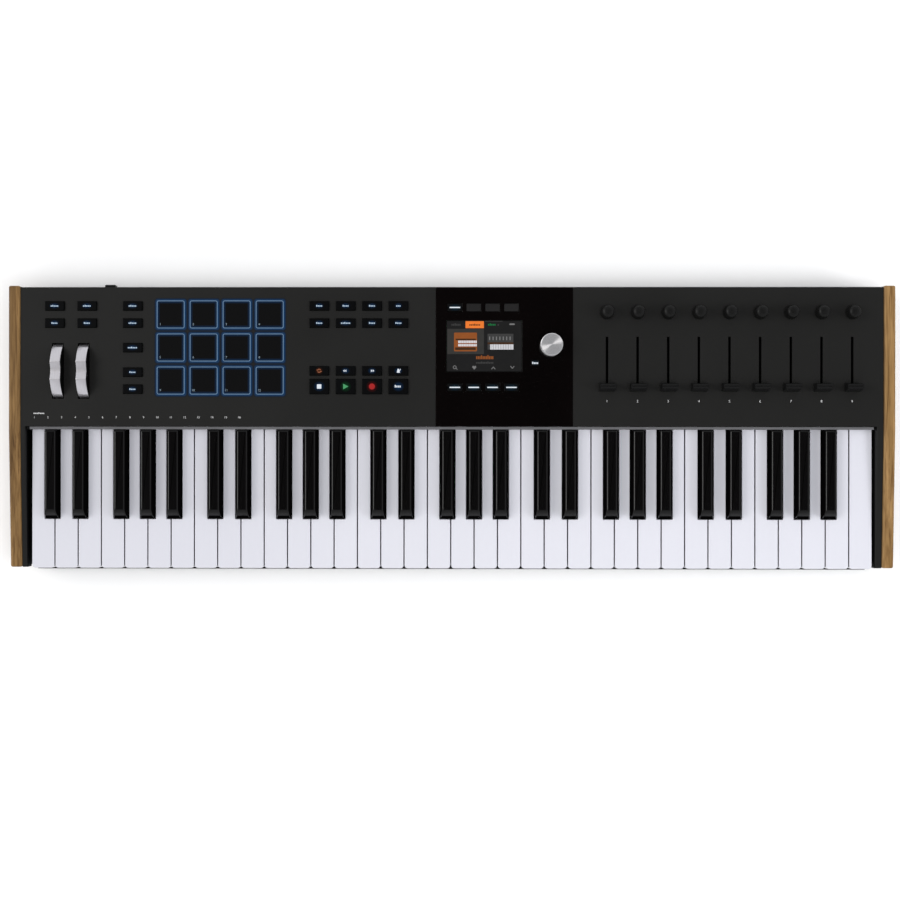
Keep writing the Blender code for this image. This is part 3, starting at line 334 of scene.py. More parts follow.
PANEL_COLOR = (0.0096, 0.0095, 0.0090)
SILICONE_COLOR = (0.0013, 0.0014, 0.0017)
PAD_COLOR = (0.0030, 0.0030, 0.0032)
FASCIA_COLOR = (0.0016, 0.0010, 0.0010)
KEY_BLACK = (0.0019, 0.0017, 0.0018)
SOFT_COLOR = (0.0055, 0.0055, 0.0053)
PLASTIC_COLOR = (0.0055, 0.0055, 0.0055)
DARK_COLOR = (0.0025, 0.0025, 0.0025)
UNLIT_COLOR = (0.0125, 0.0120, 0.0120)
HALO_BLUE = (0.006, 0.060, 0.18)
HALO_TEAL = (0.003, 0.035, 0.060)
HALO_GREEN = (0.0, 0.060, 0.014)
HALO_RED = (0.115, 0.003, 0.003)
HALO_AMBER = (0.075, 0.018, 0.002)
MATERIALS = {
    "panel": grained("panel_coat", PANEL_COLOR, 0.5, 1500, 0.012 * MM, 0.10, specular=0.18),
    "case": grained("case_coat", (0.014, 0.014, 0.014), 0.6, 1200, specular=0.2),
    "fascia": grained("fascia_gloss", FASCIA_COLOR, 0.08, 300, 0.0005 * MM, 0.3),
    "wood": make_wood(),
    "white": grained("key_white", (0.60, 0.60, 0.65), 0.2, 400, 0.001 * MM, 0.01),
    # Painted shade: the white keys' upright sides are a darker grey, standing for the shadow down in the
    # narrow gaps between keys.
    "shaded_white_side": grained("key_white_side_painted_shade", (0.26, 0.26, 0.285), 0.4, 400, 0.001 * MM),
    "black": grained("key_black", KEY_BLACK, 0.2, 400, 0.001 * MM, 0.15, specular=0.25),
    "black_side": grained("key_black_side", KEY_BLACK, 0.45, 400, 0.002 * MM, specular=0.0),
    "strip": grained("strip_felt", (0.105, 0.105, 0.111), 0.75, 2200),
    "silicone": grained("silicone", SILICONE_COLOR, 0.5, 1400, 0.01 * MM, specular=0.06),
    "pad": grained("pad_rubber", PAD_COLOR, 0.6, 2400, specular=0.05),
    "soft": grained("soft_touch", SOFT_COLOR, 0.4, 1800, 0.008 * MM, specular=0.16),
    "plastic": grained("black_plastic", PLASTIC_COLOR, 0.4, 1500, 0.01 * MM, specular=0.14),
    "dark": grained("dark_plastic", DARK_COLOR, 0.35, 1500, 0.01 * MM, specular=0.1),
    "rubber": grained("foot_rubber", (0.010, 0.010, 0.010), 0.8, 900, 0.04 * MM),
    "unlit": grained("unlit_button", UNLIT_COLOR, 0.4, 1500, 0.01 * MM, specular=0.1),
    "print": grained("panel_print", (0.56, 0.56, 0.56), 0.6, 1500, 0.005 * MM),
    "pad_print": grained("pad_print", (0.19, 0.25, 0.30), 0.6, 1500, 0.005 * MM),
    "rim": brushed("brushed_rim", (0.84, 0.82, 0.86), 0.38, (900, 14, 14)),
    "spun": make_spun_metal(),
    "nickel": brushed("nickel", (0.66, 0.65, 0.63), 0.25, (40, 700, 40)),
    "steel": brushed("chassis_steel", (0.46, 0.46, 0.47), 0.4, (12, 500, 500)),
    "gold": brushed("gold_contact", (0.80, 0.58, 0.22), 0.28, (300, 300, 30)),
    "board": make_circuit_board(),
    # Round the pads: painted blue light from the pads, over the panel colour darkened to 0.6 as painted
    # shade in the gaps between pads.
    "panel_halo_and_shade": haloed("panel_glow_and_shade", scaled(PANEL_COLOR, 0.6), 0.1, HALO_BLUE, 0.75),
    "halo_pad": haloed("pad_edge_glow", PAD_COLOR, 0.05, HALO_BLUE, 0.4),
    "halo_button": haloed("button_glow", SILICONE_COLOR, 0.06, HALO_BLUE, 0.6),
    "halo_fascia": haloed("fascia_glow", FASCIA_COLOR, 0.06, HALO_TEAL, 0.8),
    "halo_green": haloed("play_glow", SILICONE_COLOR, 0.06, HALO_GREEN, 1.0),
    "halo_red": haloed("record_glow", SILICONE_COLOR, 0.06, HALO_RED, 1.0),
    "halo_amber": haloed("loop_glow", SILICONE_COLOR, 0.06, HALO_AMBER, 1.0),
}
LAMPS = {
    "lamp_frame": (0.15, 0.25, 0.39),
    "lamp_wall": (0.030, 0.115, 0.26),
    "lamp_skirt": (0.004, 0.023, 0.062),
    "lamp_label": (0.52, 0.66, 0.80),
    "lamp_white": (0.80, 0.86, 0.93),
    "lamp_green": (0.08, 0.36, 0.15),
    "lamp_red": (0.40, 0.022, 0.022),
    "lamp_orange": (0.30, 0.105, 0.055),
    "ui_ground": (0.0135, 0.0135, 0.0138),
    "ui_tile": (0.040, 0.039, 0.037),
    "ui_orange": (0.90, 0.215, 0.035),
    "ui_brown": (0.30, 0.088, 0.022),
    "ui_umber": (0.060, 0.026, 0.012),
    "ui_white": (0.72, 0.72, 0.76),
    "ui_grey": (0.20, 0.20, 0.20),
    "ui_dim": (0.052, 0.052, 0.052),
    "ui_green": (0.012, 0.17, 0.05),
}
for lamp, color in LAMPS.items():
    MATERIALS[lamp] = glowing(lamp, color)


# ------------------------------------------------------------------ shapes

def placed(name, data):
    """An object made of data, linked to the scene."""
    obj = bpy.data.objects.new(name, data)
    bpy.context.scene.collection.objects.link(obj)
    return obj


def mesh_of(bm, name):
    """What bm holds, as a mesh. It uses up the bm."""
    mesh = bpy.data.meshes.new(name)
    bm.to_mesh(mesh)
    bm.free()
    return mesh


def finished(bm, name, smooth=True, angle=35):
    """The mesh of bm with outward faces, smooth except at sharp edges."""
    bmesh.ops.recalc_face_normals(bm, faces=bm.faces)
    mesh = mesh_of(bm, name)
    if smooth:
        mesh.shade_smooth()
        mesh.set_sharp_from_angle(angle=math.radians(angle))
    return mesh


def bevel(bm, width, wanted, segments=3):
    """Rounds each edge for which wanted(first point, second point) is true."""
    edges = [edge for edge in bm.edges if wanted(edge.verts[0].co, edge.verts[1].co)]
    bmesh.ops.bevel(bm, geom=edges, offset=width, segments=segments, profile=0.5, affect="EDGES")


def lofted(loops):
    """Loops of points with walls from each to the next, closed by the first and the last."""
    bm = bmesh.new()
    rows = [[bm.verts.new(point) for point in loop] for loop in loops]
    bm.faces.new(rows[0])
    bm.faces.new(rows[-1])
    for lower, upper in zip(rows, rows[1:]):
        for index in range(len(lower)):
            after = (index + 1) % len(lower)
            bm.faces.new((lower[index], lower[after], upper[after], upper[index]))
    return bm


def prism(points, low, high, axis="Z"):
    """An outline in X and Y extruded along Z, in Y and Z along X, or in X and Z along Y."""
    place = {
        "Z": lambda u, v, w: (u, v, w),
        "X": lambda u, v, w: (w, u, v),
        "Y": lambda u, v, w: (u, w, v),
    }[axis]
    return lofted([[place(u, v, w) for u, v in points] for w in (low, high)])


def rectangle(x, y):
    return [(x[0], y[0]), (x[1], y[0]), (x[1], y[1]), (x[0], y[1])]


def polar(x, y, radius, angle):
    """The point at a radius and an angle from x and y."""
    return x + radius * math.cos(angle), y + radius * math.sin(angle)


def circle(x, y, radius, steps=32):
    return [polar(x, y, radius, 2 * math.pi * step / steps) for step in range(steps)]


def rounded_rectangle(x, y, half_x, half_y, radius, steps=6):
    """Points round a rectangle with round corners, counter-clockwise from the bottom right corner."""
    points = []
    for corner, (side_x, side_y) in enumerate(((1, -1), (1, 1), (-1, 1), (-1, -1))):
        centre_x = x + side_x * (half_x - radius)
        centre_y = y + side_y * (half_y - radius)
        for step in range(steps + 1):
            angle = math.pi / 2 * (corner - 1 + step / steps)
            points.append(polar(centre_x, centre_y, radius, angle))
    return points


def same(a, b):
    return abs(a - b) < 0.001 * MM


def level_at(z):
    """Picks the edges that lie at height z."""
    return lambda a, b: same(a.z, z) and same(b.z, z)


def upright(a, b):
    return same(a.x, b.x) and same(a.y, b.y)


def end_above(z):
    """Picks the edges of a prism's two ends on X that reach above height z."""
    return lambda a, b: same(a.x, b.x) and max(a.z, b.z) > z


def rounded_block(x, y, z, corner=0.0, top=0.0, bottom=0.0, segments=3):
    """A box with rounded upright edges, then rounded top and bottom edges."""
    bm = prism(rectangle(x, y), *z)
    if corner:
        bevel(bm, corner, upright, segments + 1)
    if top:
        bevel(bm, top, level_at(z[1]), segments)
    if bottom:
        bevel(bm, bottom, level_at(z[0]), 2)
    return bm


TURNS = {
    "Z": Matrix.Identity(4),
    "Y": Matrix.Rotation(math.radians(-90), 4, "X"),
    "X": Matrix.Rotation(math.radians(90), 4, "Y"),
}


def lathe(profile, centre, steps=48, axis="Z", flutes=0, flute_depth=0.0):
    """Turns (radius, height) points round an axis through centre.

    A profile point with a third value has flutes cut that share of flute_depth into its ring.
    """
    bm = bmesh.new()
    rings = []
    for radius, height, *share in profile:
        if radius == 0:
            rings.append([bm.verts.new((0, 0, height))])
            continue
        ring = []
        for step in range(steps):
            angle = 2 * math.pi * step / steps
            cut = share[0] * flute_depth * max(0.0, math.cos(flutes * angle)) ** 2 if share else 0.0
            ring.append(bm.verts.new((*polar(0, 0, radius - cut, angle), height)))
        rings.append(ring)
    for first, second in zip(rings, rings[1:]):
        for step in range(steps):
            after = (step + 1) % steps
            corners = [first[step % len(first)], first[after % len(first)]]
            corners += [second[after % len(second)], second[step % len(second)]]
            unique = list(dict.fromkeys(corners))
            if len(unique) > 2:
                bm.faces.new(unique)
    bmesh.ops.transform(bm, matrix=Matrix.Translation(centre) @ TURNS[axis], verts=bm.verts)
    return bm


def ring(near, far, low, high):
    """A flat band between two outlines. Its UV is 0 on the near one and 1 on the far one."""
    bm = bmesh.new()
    layer = bm.loops.layers.uv.new("spill")
    loops = []
    for z in (low, high):
        loops.append([bm.verts.new((x, y, z)) for x, y in near])
        loops.append([bm.verts.new((x, y, z)) for x, y in far])
    faded = set(loops[1] + loops[3])
    for first, second in ((0, 1), (1, 3), (3, 2), (2, 0)):
        for index in range(len(near)):
            after = (index + 1) % len(near)
            near_pair = (loops[first][index], loops[first][after])
            far_pair = (loops[second][after], loops[second][index])
            face = bm.faces.new(near_pair + far_pair)
            for loop in face.loops:
                loop[layer].uv = (1.0 if loop.vert in faded else 0.0, 0.0)
    return bm


def joined(shapes):
    """Several shapes as one."""
    whole = bmesh.new()
    for shape in shapes:
        mesh = mesh_of(shape, "part")
        whole.from_mesh(mesh)
        bpy.data.meshes.remove(mesh)
    return whole


def drilled(shape, cutters):
    """A shape with the cutters taken out."""
    pair = (shape, joined(cutters))
    blank, cutter = [placed("blank", finished(bm, "blank", smooth=False)) for bm in pair]
    cut = blank.modifiers.new("cut", "BOOLEAN")
    cut.operation = "DIFFERENCE"
    cut.solver = "EXACT"
    cut.object = cutter
    graph = bpy.context.evaluated_depsgraph_get()
    result = bmesh.new()
    result.from_object(blank, graph)
    for obj in (blank, cutter):
        mesh = obj.data
        bpy.data.objects.remove(obj)
        bpy.data.meshes.remove(mesh)
    return result


def even_normals(obj):
    """Keeps large faces flat in shading, so that only the rounded edges curve."""
    even = obj.modifiers.new("even", "WEIGHTED_NORMAL")
    even.weight = 100
    even.keep_sharp = True


def add(name, shapes, body, material, replaces=(), smooth=True, angle=35):
    """A finished piece on a CAD body, of one shape or several."""
    bm = joined(shapes) if isinstance(shapes, list) else shapes
    obj = placed(name, finished(bm, name, smooth, angle))
    obj.data.materials.append(MATERIALS[material])
    if smooth:
        even_normals(obj)
    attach(obj, body)
    if replaces:
        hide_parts(*replaces)
    return obj


def add_marks(name, shapes, body, material):
    """Print, lamps or glow, which lie flat and need no smooth shading."""
    add(name, shapes, body, material, smooth=False)


def paint_faces(obj, material, wanted):
    """Gives the faces for which wanted(face) is true another material."""
    obj.data.materials.append(MATERIALS[material])
    for face in obj.data.polygons:
        if wanted(face):
            face.material_index = 1


INK = 0.05 * MM                       # thickness of print and of lit marks
FILM = 0.02 * MM                      # thickness of the glow round a mark
HAIR = 0.01 * MM                      # keeps two pieces from sharing a face
DASH_PITCH = 1.6 * MM
DASH_FILL = 0.72                      # share of the pitch that a dash takes up
LOW_DASH = 0.74                       # height of the lower dashes, as a share of the full ones


def around(x, y, offsets):
    """Points at offsets in millimetres from x and y."""
    return [(x + across * MM, y + along * MM) for across, along in offsets]


def flat(points, z, thickness=INK):
    """A thin printed or lit shape lying at height z."""
    return prism(points, z, z + thickness)


def bar(x, y, width, depth, z, thickness=INK):
    return flat(rectangle(span(x, width), span(y, depth)), z, thickness)


def band(x, y, outer, inner, z, start=0.0, end=360.0, steps=40):
    """A flat ring, or part of one between two angles."""
    angles = [math.radians(start + (end - start) * step / steps) for step in range(steps + 1)]
    far = [polar(x, y, outer, angle) for angle in angles]
    near = [polar(x, y, inner, angle) for angle in angles]
    return flat(far + near[::-1], z)


def digits(characters, size, x, y, z):
    """Digits centred on x and y, lying flat at height z."""
    curve = bpy.data.curves.new("digits", "FONT")
    curve.body = characters
    curve.size = size
    curve.align_x = "CENTER"
    curve.align_y = "CENTER"
    curve.extrude = INK / 2
    curve.resolution_u = 3
    obj = placed("digits", curve)
    mesh = bpy.data.meshes.new_from_object(obj.evaluated_get(bpy.context.evaluated_depsgraph_get()))
    bm = bmesh.new()
    bm.from_mesh(mesh)
    bpy.data.objects.remove(obj)
    bpy.data.curves.remove(curve)
    bpy.data.meshes.remove(mesh)
    bmesh.ops.remove_doubles(bm, verts=bm.verts, dist=0.002 * MM)
    bmesh.ops.translate(bm, verts=bm.verts, vec=(x, y, z + INK / 2))
    return bm


def dashes(x, y, count, z, height=1.6 * MM):
    """A row of small upright dashes that stands in for a word. Each fourth or so is full height."""
    shapes = []
    for index in range(count):
        tall = height if (index * 3 + count) % 4 == 0 else height * LOW_DASH
        centre = x + (index - (count - 1) / 2) * DASH_PITCH
        shapes.append(bar(centre, y - (height - tall) / 2, DASH_PITCH * DASH_FILL, tall, z))
    return shapes


def spill(x, y, half_x, half_y, z):
    """A thin oval of light round a lit mark."""
    bm = prism(circle(x, y, 1.0, 24), z, z + FILM)
    layer = bm.loops.layers.uv.new("spill")
    for face in bm.faces:
        for loop in face.loops:
            loop[layer].uv = (loop.vert.co.x - x, loop.vert.co.y - y)
    for vert in bm.verts:
        vert.co.x = x + (vert.co.x - x) * half_x
        vert.co.y = y + (vert.co.y - y) * half_y
    return bm


def word_glow(x, y, count, z):
    """The light round a word of so many dashes."""
    return spill(x, y, (count + 2.2) * 0.75 * MM, 2.9 * MM, z)


# ------------------------------------------------------------------ keys

def white_sides(note, octave_left):
    """Left and right of a white key's head, then of its tail between the black keys."""
    left = octave_left + note * KEY_PITCH + KEY_GAP / 2
    right = left + KEY_PITCH - KEY_GAP
    tail_left = left
    tail_right = right
    reach = BLACK_WIDTH / 2 + BLACK_CLEARANCE
    for sharp in SHARP_CENTRES:
        centre = octave_left + sharp * KEY_PITCH
        if centre - reach < left < centre + reach:
            tail_left = centre + reach
        if centre - reach < right < centre + reach:
            tail_right = centre - reach
    return left, right, tail_left, tail_right


def make_white_key(name, sides, body):
    """A head between its neighbours, a neck between the black keys, and a tail to the pivot rail."""
    left, right, tail_left, tail_right = sides
    neck = BLACK_FRONT - BLACK_CLEARANCE
    points = [(left, WHITE_FRONT), (right, WHITE_FRONT)]
    if tail_right < right:
        points += [(right, neck), (tail_right, neck)]
    points += [(tail_right, WHITE_BACK), (tail_left, WHITE_BACK)]
    if tail_left > left:
        points += [(tail_left, neck), (left, neck)]
    under = WHITE_TOP - WHITE_HEIGHT
    bm = prism(points, under, WHITE_TOP)
    bevel(bm, WHITE_CORNER, lambda a, b: upright(a, b) and same(a.y, WHITE_FRONT), 4)
    bevel(bm, WHITE_EDGE, level_at(WHITE_TOP), 4)
    bevel(bm, WHITE_EDGE / 2, level_at(under), 2)
    tail_sides = rectangle((tail_left, tail_right), (TAIL_FRONT, RAIL_BACK))
    tail = prism(tail_sides, under + WHITE_EDGE, TAIL_TOP)
    key = add(name, [bm, tail], body, "white", [body])
    # The upright sides take the darker grey: painted shade for the deep gaps between the keys.
    paint_faces(key, "shaded_white_side", lambda face: abs(face.normal.x) > 0.95)


def make_black_key(name, centre, body):
    """A glossy key: upright sides, then drawn in to a narrower top, with a long slope at its front."""
    half = BLACK_WIDTH / 2
    back = BLACK_FRONT + BLACK_LENGTH
    under = BLACK_TOP - BLACK_HEIGHT
    levels = [                        # half width, front and back drawn in by, height
        (half, 0.0, 0.0, under),
        (half, 0.0, 0.0, BLACK_TOP - 9.5 * MM),
        (half - 0.7 * MM, 2.9 * MM, 0.1 * MM, BLACK_TOP - 4.2 * MM),
        (BLACK_TOP_WIDTH / 2, 7.9 * MM, 0.5 * MM, BLACK_TOP),
    ]
    loops = []
    for reach, front_in, back_in, z in levels:
        length = (BLACK_FRONT + front_in, back - back_in)
        corners = rectangle((centre - reach, centre + reach), length)
        loops.append([(x, y, z) for x, y in corners])
    bm = lofted(loops)

    def corner_edge(a, b):
        return abs(a.z - b.z) > MM and (a.x - centre) * (b.x - centre) > 0

    bevel(bm, BLACK_CORNER, corner_edge, 4)
    bevel(bm, BLACK_EDGE, level_at(BLACK_TOP), 6)
    tail_x = span(centre, BLACK_WIDTH - 2.4 * MM)
    tail = prism(rectangle(tail_x, (TAIL_FRONT, RAIL_BACK)), under, TAIL_TOP)
    key = add(name, [bm, tail], body, "black", [body], angle=40)
    paint_faces(key, "black_side", lambda face: abs(face.normal.x) > 0.8 or face.normal.y < -0.8)


def make_keys():
    combs = ("ceg_b", "dfa", "ceg_b", "dfa", "ceg_b", "dfa", "ceg_b")
    for octave in range(OCTAVES):
        octave_left = KEYS_LEFT + octave * len(combs) * KEY_PITCH
        for note, comb in enumerate(combs):
            name = f"white_key_{octave * len(combs) + note + 1}"
            make_white_key(name, white_sides(note, octave_left), f"keys_{comb}_{octave + 1}")
        for number, sharp in enumerate(SHARP_CENTRES, start=1):
            name = f"black_key_{octave * len(SHARP_CENTRES) + number}"
            make_black_key(name, octave_left + sharp * KEY_PITCH, f"keys_black_{octave + 1}")
    left = KEYS_LEFT + OCTAVES * len(combs) * KEY_PITCH + KEY_GAP / 2
    right = left + KEY_PITCH - KEY_GAP
    make_white_key("white_key_36", (left, right, left, right), "key_top_c")


# ------------------------------------------------------------------ buttons and pads

def button_caps(node, places, size, corner=1.1 * MM):
    """A cap at each place, from inside the node's mat to the node's top."""
    bottom, top = limits(node)[2]
    height = (bottom + MAT_THICKNESS / 2, top)
    return [
        rounded_block(span(x, size[0]), span(y, size[1]), height, corner, CAP_EDGE) for x, y in places
    ]


def mat_sheet(node, x, y):
    bottom = limits(node)[2][0]
    return rounded_block(x, y, (bottom, bottom + MAT_THICKNESS), MAT_BORDER / 2)


def lit_words(places, counts, top):
    """Dashes on caps whose tops are at one height, and the light round them."""
    marks = []
    spills = []
    for (x, y), count in zip(places, counts):
        marks += dashes(x, y, count, top + FILM)
        spills.append(word_glow(x, y, count, top))
    return marks, spills


def make_left_buttons():
    node = "left_buttons"
    x, y, z = limits(node)
    places = [(px, py) for py in (TOP_ROW, SECOND_ROW) for px in LEFT_XS]
    places += [(MODE_X, py) for py in MODE_YS]
    half_x = BUTTON[0] / 2 + MAT_BORDER
    half_y = BUTTON[1] / 2 + MAT_BORDER
    sheets = [
        mat_sheet(node, x, (SECOND_ROW - half_y, y[1])),
        mat_sheet(node, (MODE_X - half_x, x[1]), y),
    ]
    caps = button_caps(node, places, BUTTON)
    add("left_button_caps", sheets + caps, node, "silicone", [node])
    marks, spills = lit_words(places, (5, 5, 4, 4, 5, 5, 6, 4, 4), z[1])
    add_marks("left_button_labels", marks, node, "lamp_label")
    add_marks("left_button_glow", spills, node, "halo_button")


def make_transport_buttons():
    node = "transport_buttons"
    x, y, z = limits(node)
    top = z[1]
    columns = [TRANSPORT_X + TRANSPORT_PITCH * column for column in range(4)]
    places = [(px, row) for row in (TOP_ROW, SECOND_ROW, ICON_ROW) for px in columns]
    shapes = [mat_sheet(node, x, y)] + button_caps(node, places, BUTTON)
    shapes += button_caps(node, [(px, PLAY_ROW) for px in columns], PLAY_BUTTON)
    add("transport_button_caps", shapes, node, "silicone", [node])
    mark = top + FILM
    word_rows = places[:2 * len(columns)]
    marks, spills = lit_words(word_rows, (4, 4, 4, 3, 4, 6, 4, 4), top)
    add_marks("transport_labels", marks, node, "lamp_label")

    loop_x, rewind_x, forward_x, beat_x = columns
    add_marks("loop_mark", [
        band(loop_x, ICON_ROW, 2.0 * MM, 1.1 * MM, mark, 25, 165, 14),
        band(loop_x, ICON_ROW, 2.0 * MM, 1.1 * MM, mark, 205, 345, 14),
        bar(loop_x - 1.9 * MM, ICON_ROW + 0.7 * MM, 1.3 * MM, 0.9 * MM, mark),
        bar(loop_x + 1.9 * MM, ICON_ROW - 0.7 * MM, 1.3 * MM, 0.9 * MM, mark),
    ], node, "lamp_orange")
    arrows = []
    for centre, way in ((rewind_x, -1), (forward_x, 1)):
        for shift in (-1.0, 0.8):
            head = ((shift + way * 1.5, 0), (shift, 1.3), (shift, -1.3))
            arrows.append(flat(around(centre, ICON_ROW, head), mark))
    bell = ((-1.6, -1.9), (1.6, -1.9), (0.7, 1.9), (-0.7, 1.9))
    pendulum = ((0.9, 0), (1.4, -0.3), (2.6, 1.7), (2.1, 2.0))
    arrows += [flat(around(beat_x, ICON_ROW, points), mark) for points in (bell, pendulum)]
    add_marks("transport_arrows", arrows, node, "lamp_white")

    stop_x, play_x, record_x, tap_x = columns
    stop = rounded_rectangle(stop_x, PLAY_ROW, 2.2 * MM, 2.2 * MM, 0.4 * MM)
    tap = dashes(tap_x - 0.6 * MM, PLAY_ROW + 0.3 * MM, 4, mark, 2.5 * MM)
    add_marks("stop_and_tap_marks", [flat(stop, mark)] + tap, node, "lamp_white")
    play = around(play_x, PLAY_ROW, ((-2.4, -2.8), (2.9, 0), (-2.4, 2.8)))
    add_marks("play_mark", flat(play, mark), node, "lamp_green")
    record = circle(record_x, PLAY_ROW, 3.0 * MM)
    add_marks("record_mark", flat(record, mark), node, "lamp_red")
    colored = (
        ("play_glow", "halo_green", play_x, PLAY_ROW, 5.4),
        ("record_glow", "halo_red", record_x, PLAY_ROW, 5.6),
        ("loop_glow", "halo_amber", loop_x, ICON_ROW, 3.9),
    )
    for name, material, px, py, reach in colored:
        glow = spill(px, py, reach * MM, reach * MM, top)
        add_marks(name, glow, node, material)
    for px in (rewind_x, forward_x, beat_x):
        spills.append(spill(px, ICON_ROW, 4.2 * MM, 3.2 * MM, top))
    for px in (stop_x, tap_x):
        spills.append(spill(px, PLAY_ROW, 5.6 * MM, 5.0 * MM, top))
    add_marks("transport_glow", spills, node, "halo_button")


def make_display_buttons():
    node = "display_buttons"
    x, y, z = limits(node)
    top = z[1]
    columns = [CONTEXT_X + CONTEXT_PITCH * column for column in range(4)]
    reach = CONTEXT[1] / 2 + 1.5 * MM
    link = (BACK_BUTTON[0] - 6 * MM, x[1])
    sheets = [
        mat_sheet(node, x, (CONTEXT_ROWS[0] - reach, y[1])),
        mat_sheet(node, x, (y[0], CONTEXT_ROWS[1] + reach)),
        mat_sheet(node, link, y),
    ]
    lit = [(columns[0], CONTEXT_ROWS[0])] + [(px, CONTEXT_ROWS[1]) for px in columns]
    caps = button_caps(node, lit, CONTEXT, CONTEXT_CORNER)
    caps += button_caps(node, [BACK_BUTTON], BACK_BUTTON_SIZE, CONTEXT_CORNER)
    add("display_button_caps", sheets + caps, node, "dark", [node])
    unlit = [(px, CONTEXT_ROWS[0]) for px in columns[1:]]
    greys = button_caps(node, unlit, CONTEXT, CONTEXT_CORNER)
    add("display_grey_caps", greys, node, "unlit")
    marks = []
    for px, py in lit:
        line = rounded_rectangle(px, py, 5.4 * MM, 0.6 * MM, 0.55 * MM)
        marks.append(flat(line, top + FILM))
    marks += dashes(*BACK_BUTTON, 4, top + FILM, 2.2 * MM)
    add_marks("display_button_lamps", marks, node, "lamp_white")
    spills = [spill(px, py, 7.1 * MM, 3.7 * MM, top) for px, py in lit]
    spills.append(spill(*BACK_BUTTON, 4.0 * MM, 2.8 * MM, top))
    add_marks("display_button_glow", spills, node, "halo_fascia")


def make_pads():
    """Rubber pads in frosted frames that light up, the light they spill on rubber and panel, and painted
    shade on the panel between them.
    """
    panel_glow_and_shade = []
    half = FRAME_OUTSIDE / 2
    inside = half - FRAME_WIDTH
    lit = inside - 0.3 * MM
    for row in range(PAD_ROWS):
        node = f"pads_row_{row + 1}"
        x, y, z = limits(node)
        top = z[1]
        base = z[0] + MAT_THICKNESS / 2
        y_centre = PAD_Y - PAD_PITCH * row
        rubber = [mat_sheet(node, x, y)]
        frames = []
        skirts = []
        glows = []
        numbers = []
        for column in range(PAD_COLUMNS):
            x_centre = PAD_X + PAD_PITCH * column

            def line(reach, corner):
                return rounded_rectangle(x_centre, y_centre, reach, reach, corner)

            face = (span(x_centre, 2 * inside), span(y_centre, 2 * inside))
            rubber.append(rounded_block(*face, (base, top), FRAME_CORNER - FRAME_WIDTH, 0.3 * MM))
            frame_inside = line(inside, FRAME_CORNER - FRAME_WIDTH)
            frames.append(ring(frame_inside, line(half, FRAME_CORNER), base, top - 0.1 * MM))
            skirt_outside = line(PAD / 2 - 0.15 * MM, FRAME_CORNER)
            skirts.append(ring(line(half + HAIR, FRAME_CORNER), skirt_outside, base, top - 1.2 * MM))
            glow_end = line(lit - GLOW_WIDTH, 0.5 * MM)
            glows.append(ring(line(lit, FRAME_CORNER - FRAME_WIDTH), glow_end, top, top + FILM))
            number = str(row * PAD_COLUMNS + column + 1)
            place = (x_centre - 10.4 * MM, y_centre - 9.9 * MM, top + FILM)
            numbers.append(digits(number, 3.2 * MM, *place))
            spill_start = line(half + 0.3 * MM, FRAME_CORNER)
            spill_end = line(PAD_PITCH / 2 - HAIR, FRAME_CORNER + MM)
            panel_glow_and_shade.append(ring(spill_start, spill_end, PANEL_TOP, PANEL_TOP + FILM))
        add(f"pad_rubber_{row + 1}", rubber, node, "pad", [node])
        lit_frames = add(f"pad_frames_{row + 1}", frames, node, "lamp_frame")
        paint_faces(lit_frames, "lamp_wall", lambda face: abs(face.normal.z) < 0.5)
        add(f"pad_skirts_{row + 1}", skirts, node, "lamp_skirt")
        add_marks(f"pad_edge_glow_{row + 1}", glows, node, "halo_pad")
        add_marks(f"pad_numbers_{row + 1}", numbers, node, "pad_print")
    # Rings on the panel between the pads: painted light from the pads over painted shade.
    add_marks("pad_glow_and_shade", panel_glow_and_shade, "case", "panel_halo_and_shade")


# ------------------------------------------------------------------ wheels, knobs and faders

def wheel_outline(centre_y, centre_z, radius, shrink=0.0):
    """A wheel's side view: round over the top, a softly edged thumb scoop, cut flat below the axle."""
    scoop_radius = 14.0 * MM
    scoop_depth = 3.2 * MM
    distance = radius - scoop_depth + scoop_radius
    softness = 2.8 * MM               # how far the scoop's edge is rounded
    arc = math.radians(100)
    steps = 200
    points = []
    for step in range(steps + 1):
        angle = -arc + 2 * arc * step / steps
        reach = radius
        sideways = distance * math.sin(angle)
        if abs(sideways) < scoop_radius:
            scoop = distance * math.cos(angle) - math.sqrt(scoop_radius ** 2 - sideways ** 2)
            gap = max(softness - abs(reach - scoop), 0.0) / softness
            reach = min(reach, scoop) - gap ** 2 * softness / 4
        reach -= shrink
        points.append((centre_y - reach * math.sin(angle), centre_z + reach * math.cos(angle)))
    return points


def make_wheel(node):
    x, y, z = limits(node)
    centre = middle(node)
    radius = (y[1] - y[0]) / 2
    axle_z = z[1] + 0.35 * MM - radius
    rim_x = span(centre.x, WHEEL_RIM)
    rim = prism(wheel_outline(centre.y, axle_z, radius), *rim_x, axis="X")
    bevel(rim, 0.35 * MM, end_above(axle_z), 2)
    add(f"{node}_rim", rim, node, "rim", [node], angle=50)
    sides = []
    inner = wheel_outline(centre.y, axle_z, radius, 0.9 * MM)
    for low, high in ((rim_x[0] - 0.25 * MM, rim_x[0] + MM), (rim_x[1] - MM, rim_x[1] + 0.25 * MM)):
        sides.append(prism(inner, low, high, axis="X"))
    add(f"{node}_sides", sides, node, "dark", angle=50)
    length = x[1] - x[0]
    thick = 2.5 * MM
    cut = 0.4 * MM
    profile = [
        (0, 0), (thick - cut, 0), (thick, cut),
        (thick, length - cut), (thick - cut, length), (0, length),
    ]
    axle = lathe(profile, (x[0], centre.y, axle_z), 24, "X")
    add(f"{node}_axle", axle, node, "steel")


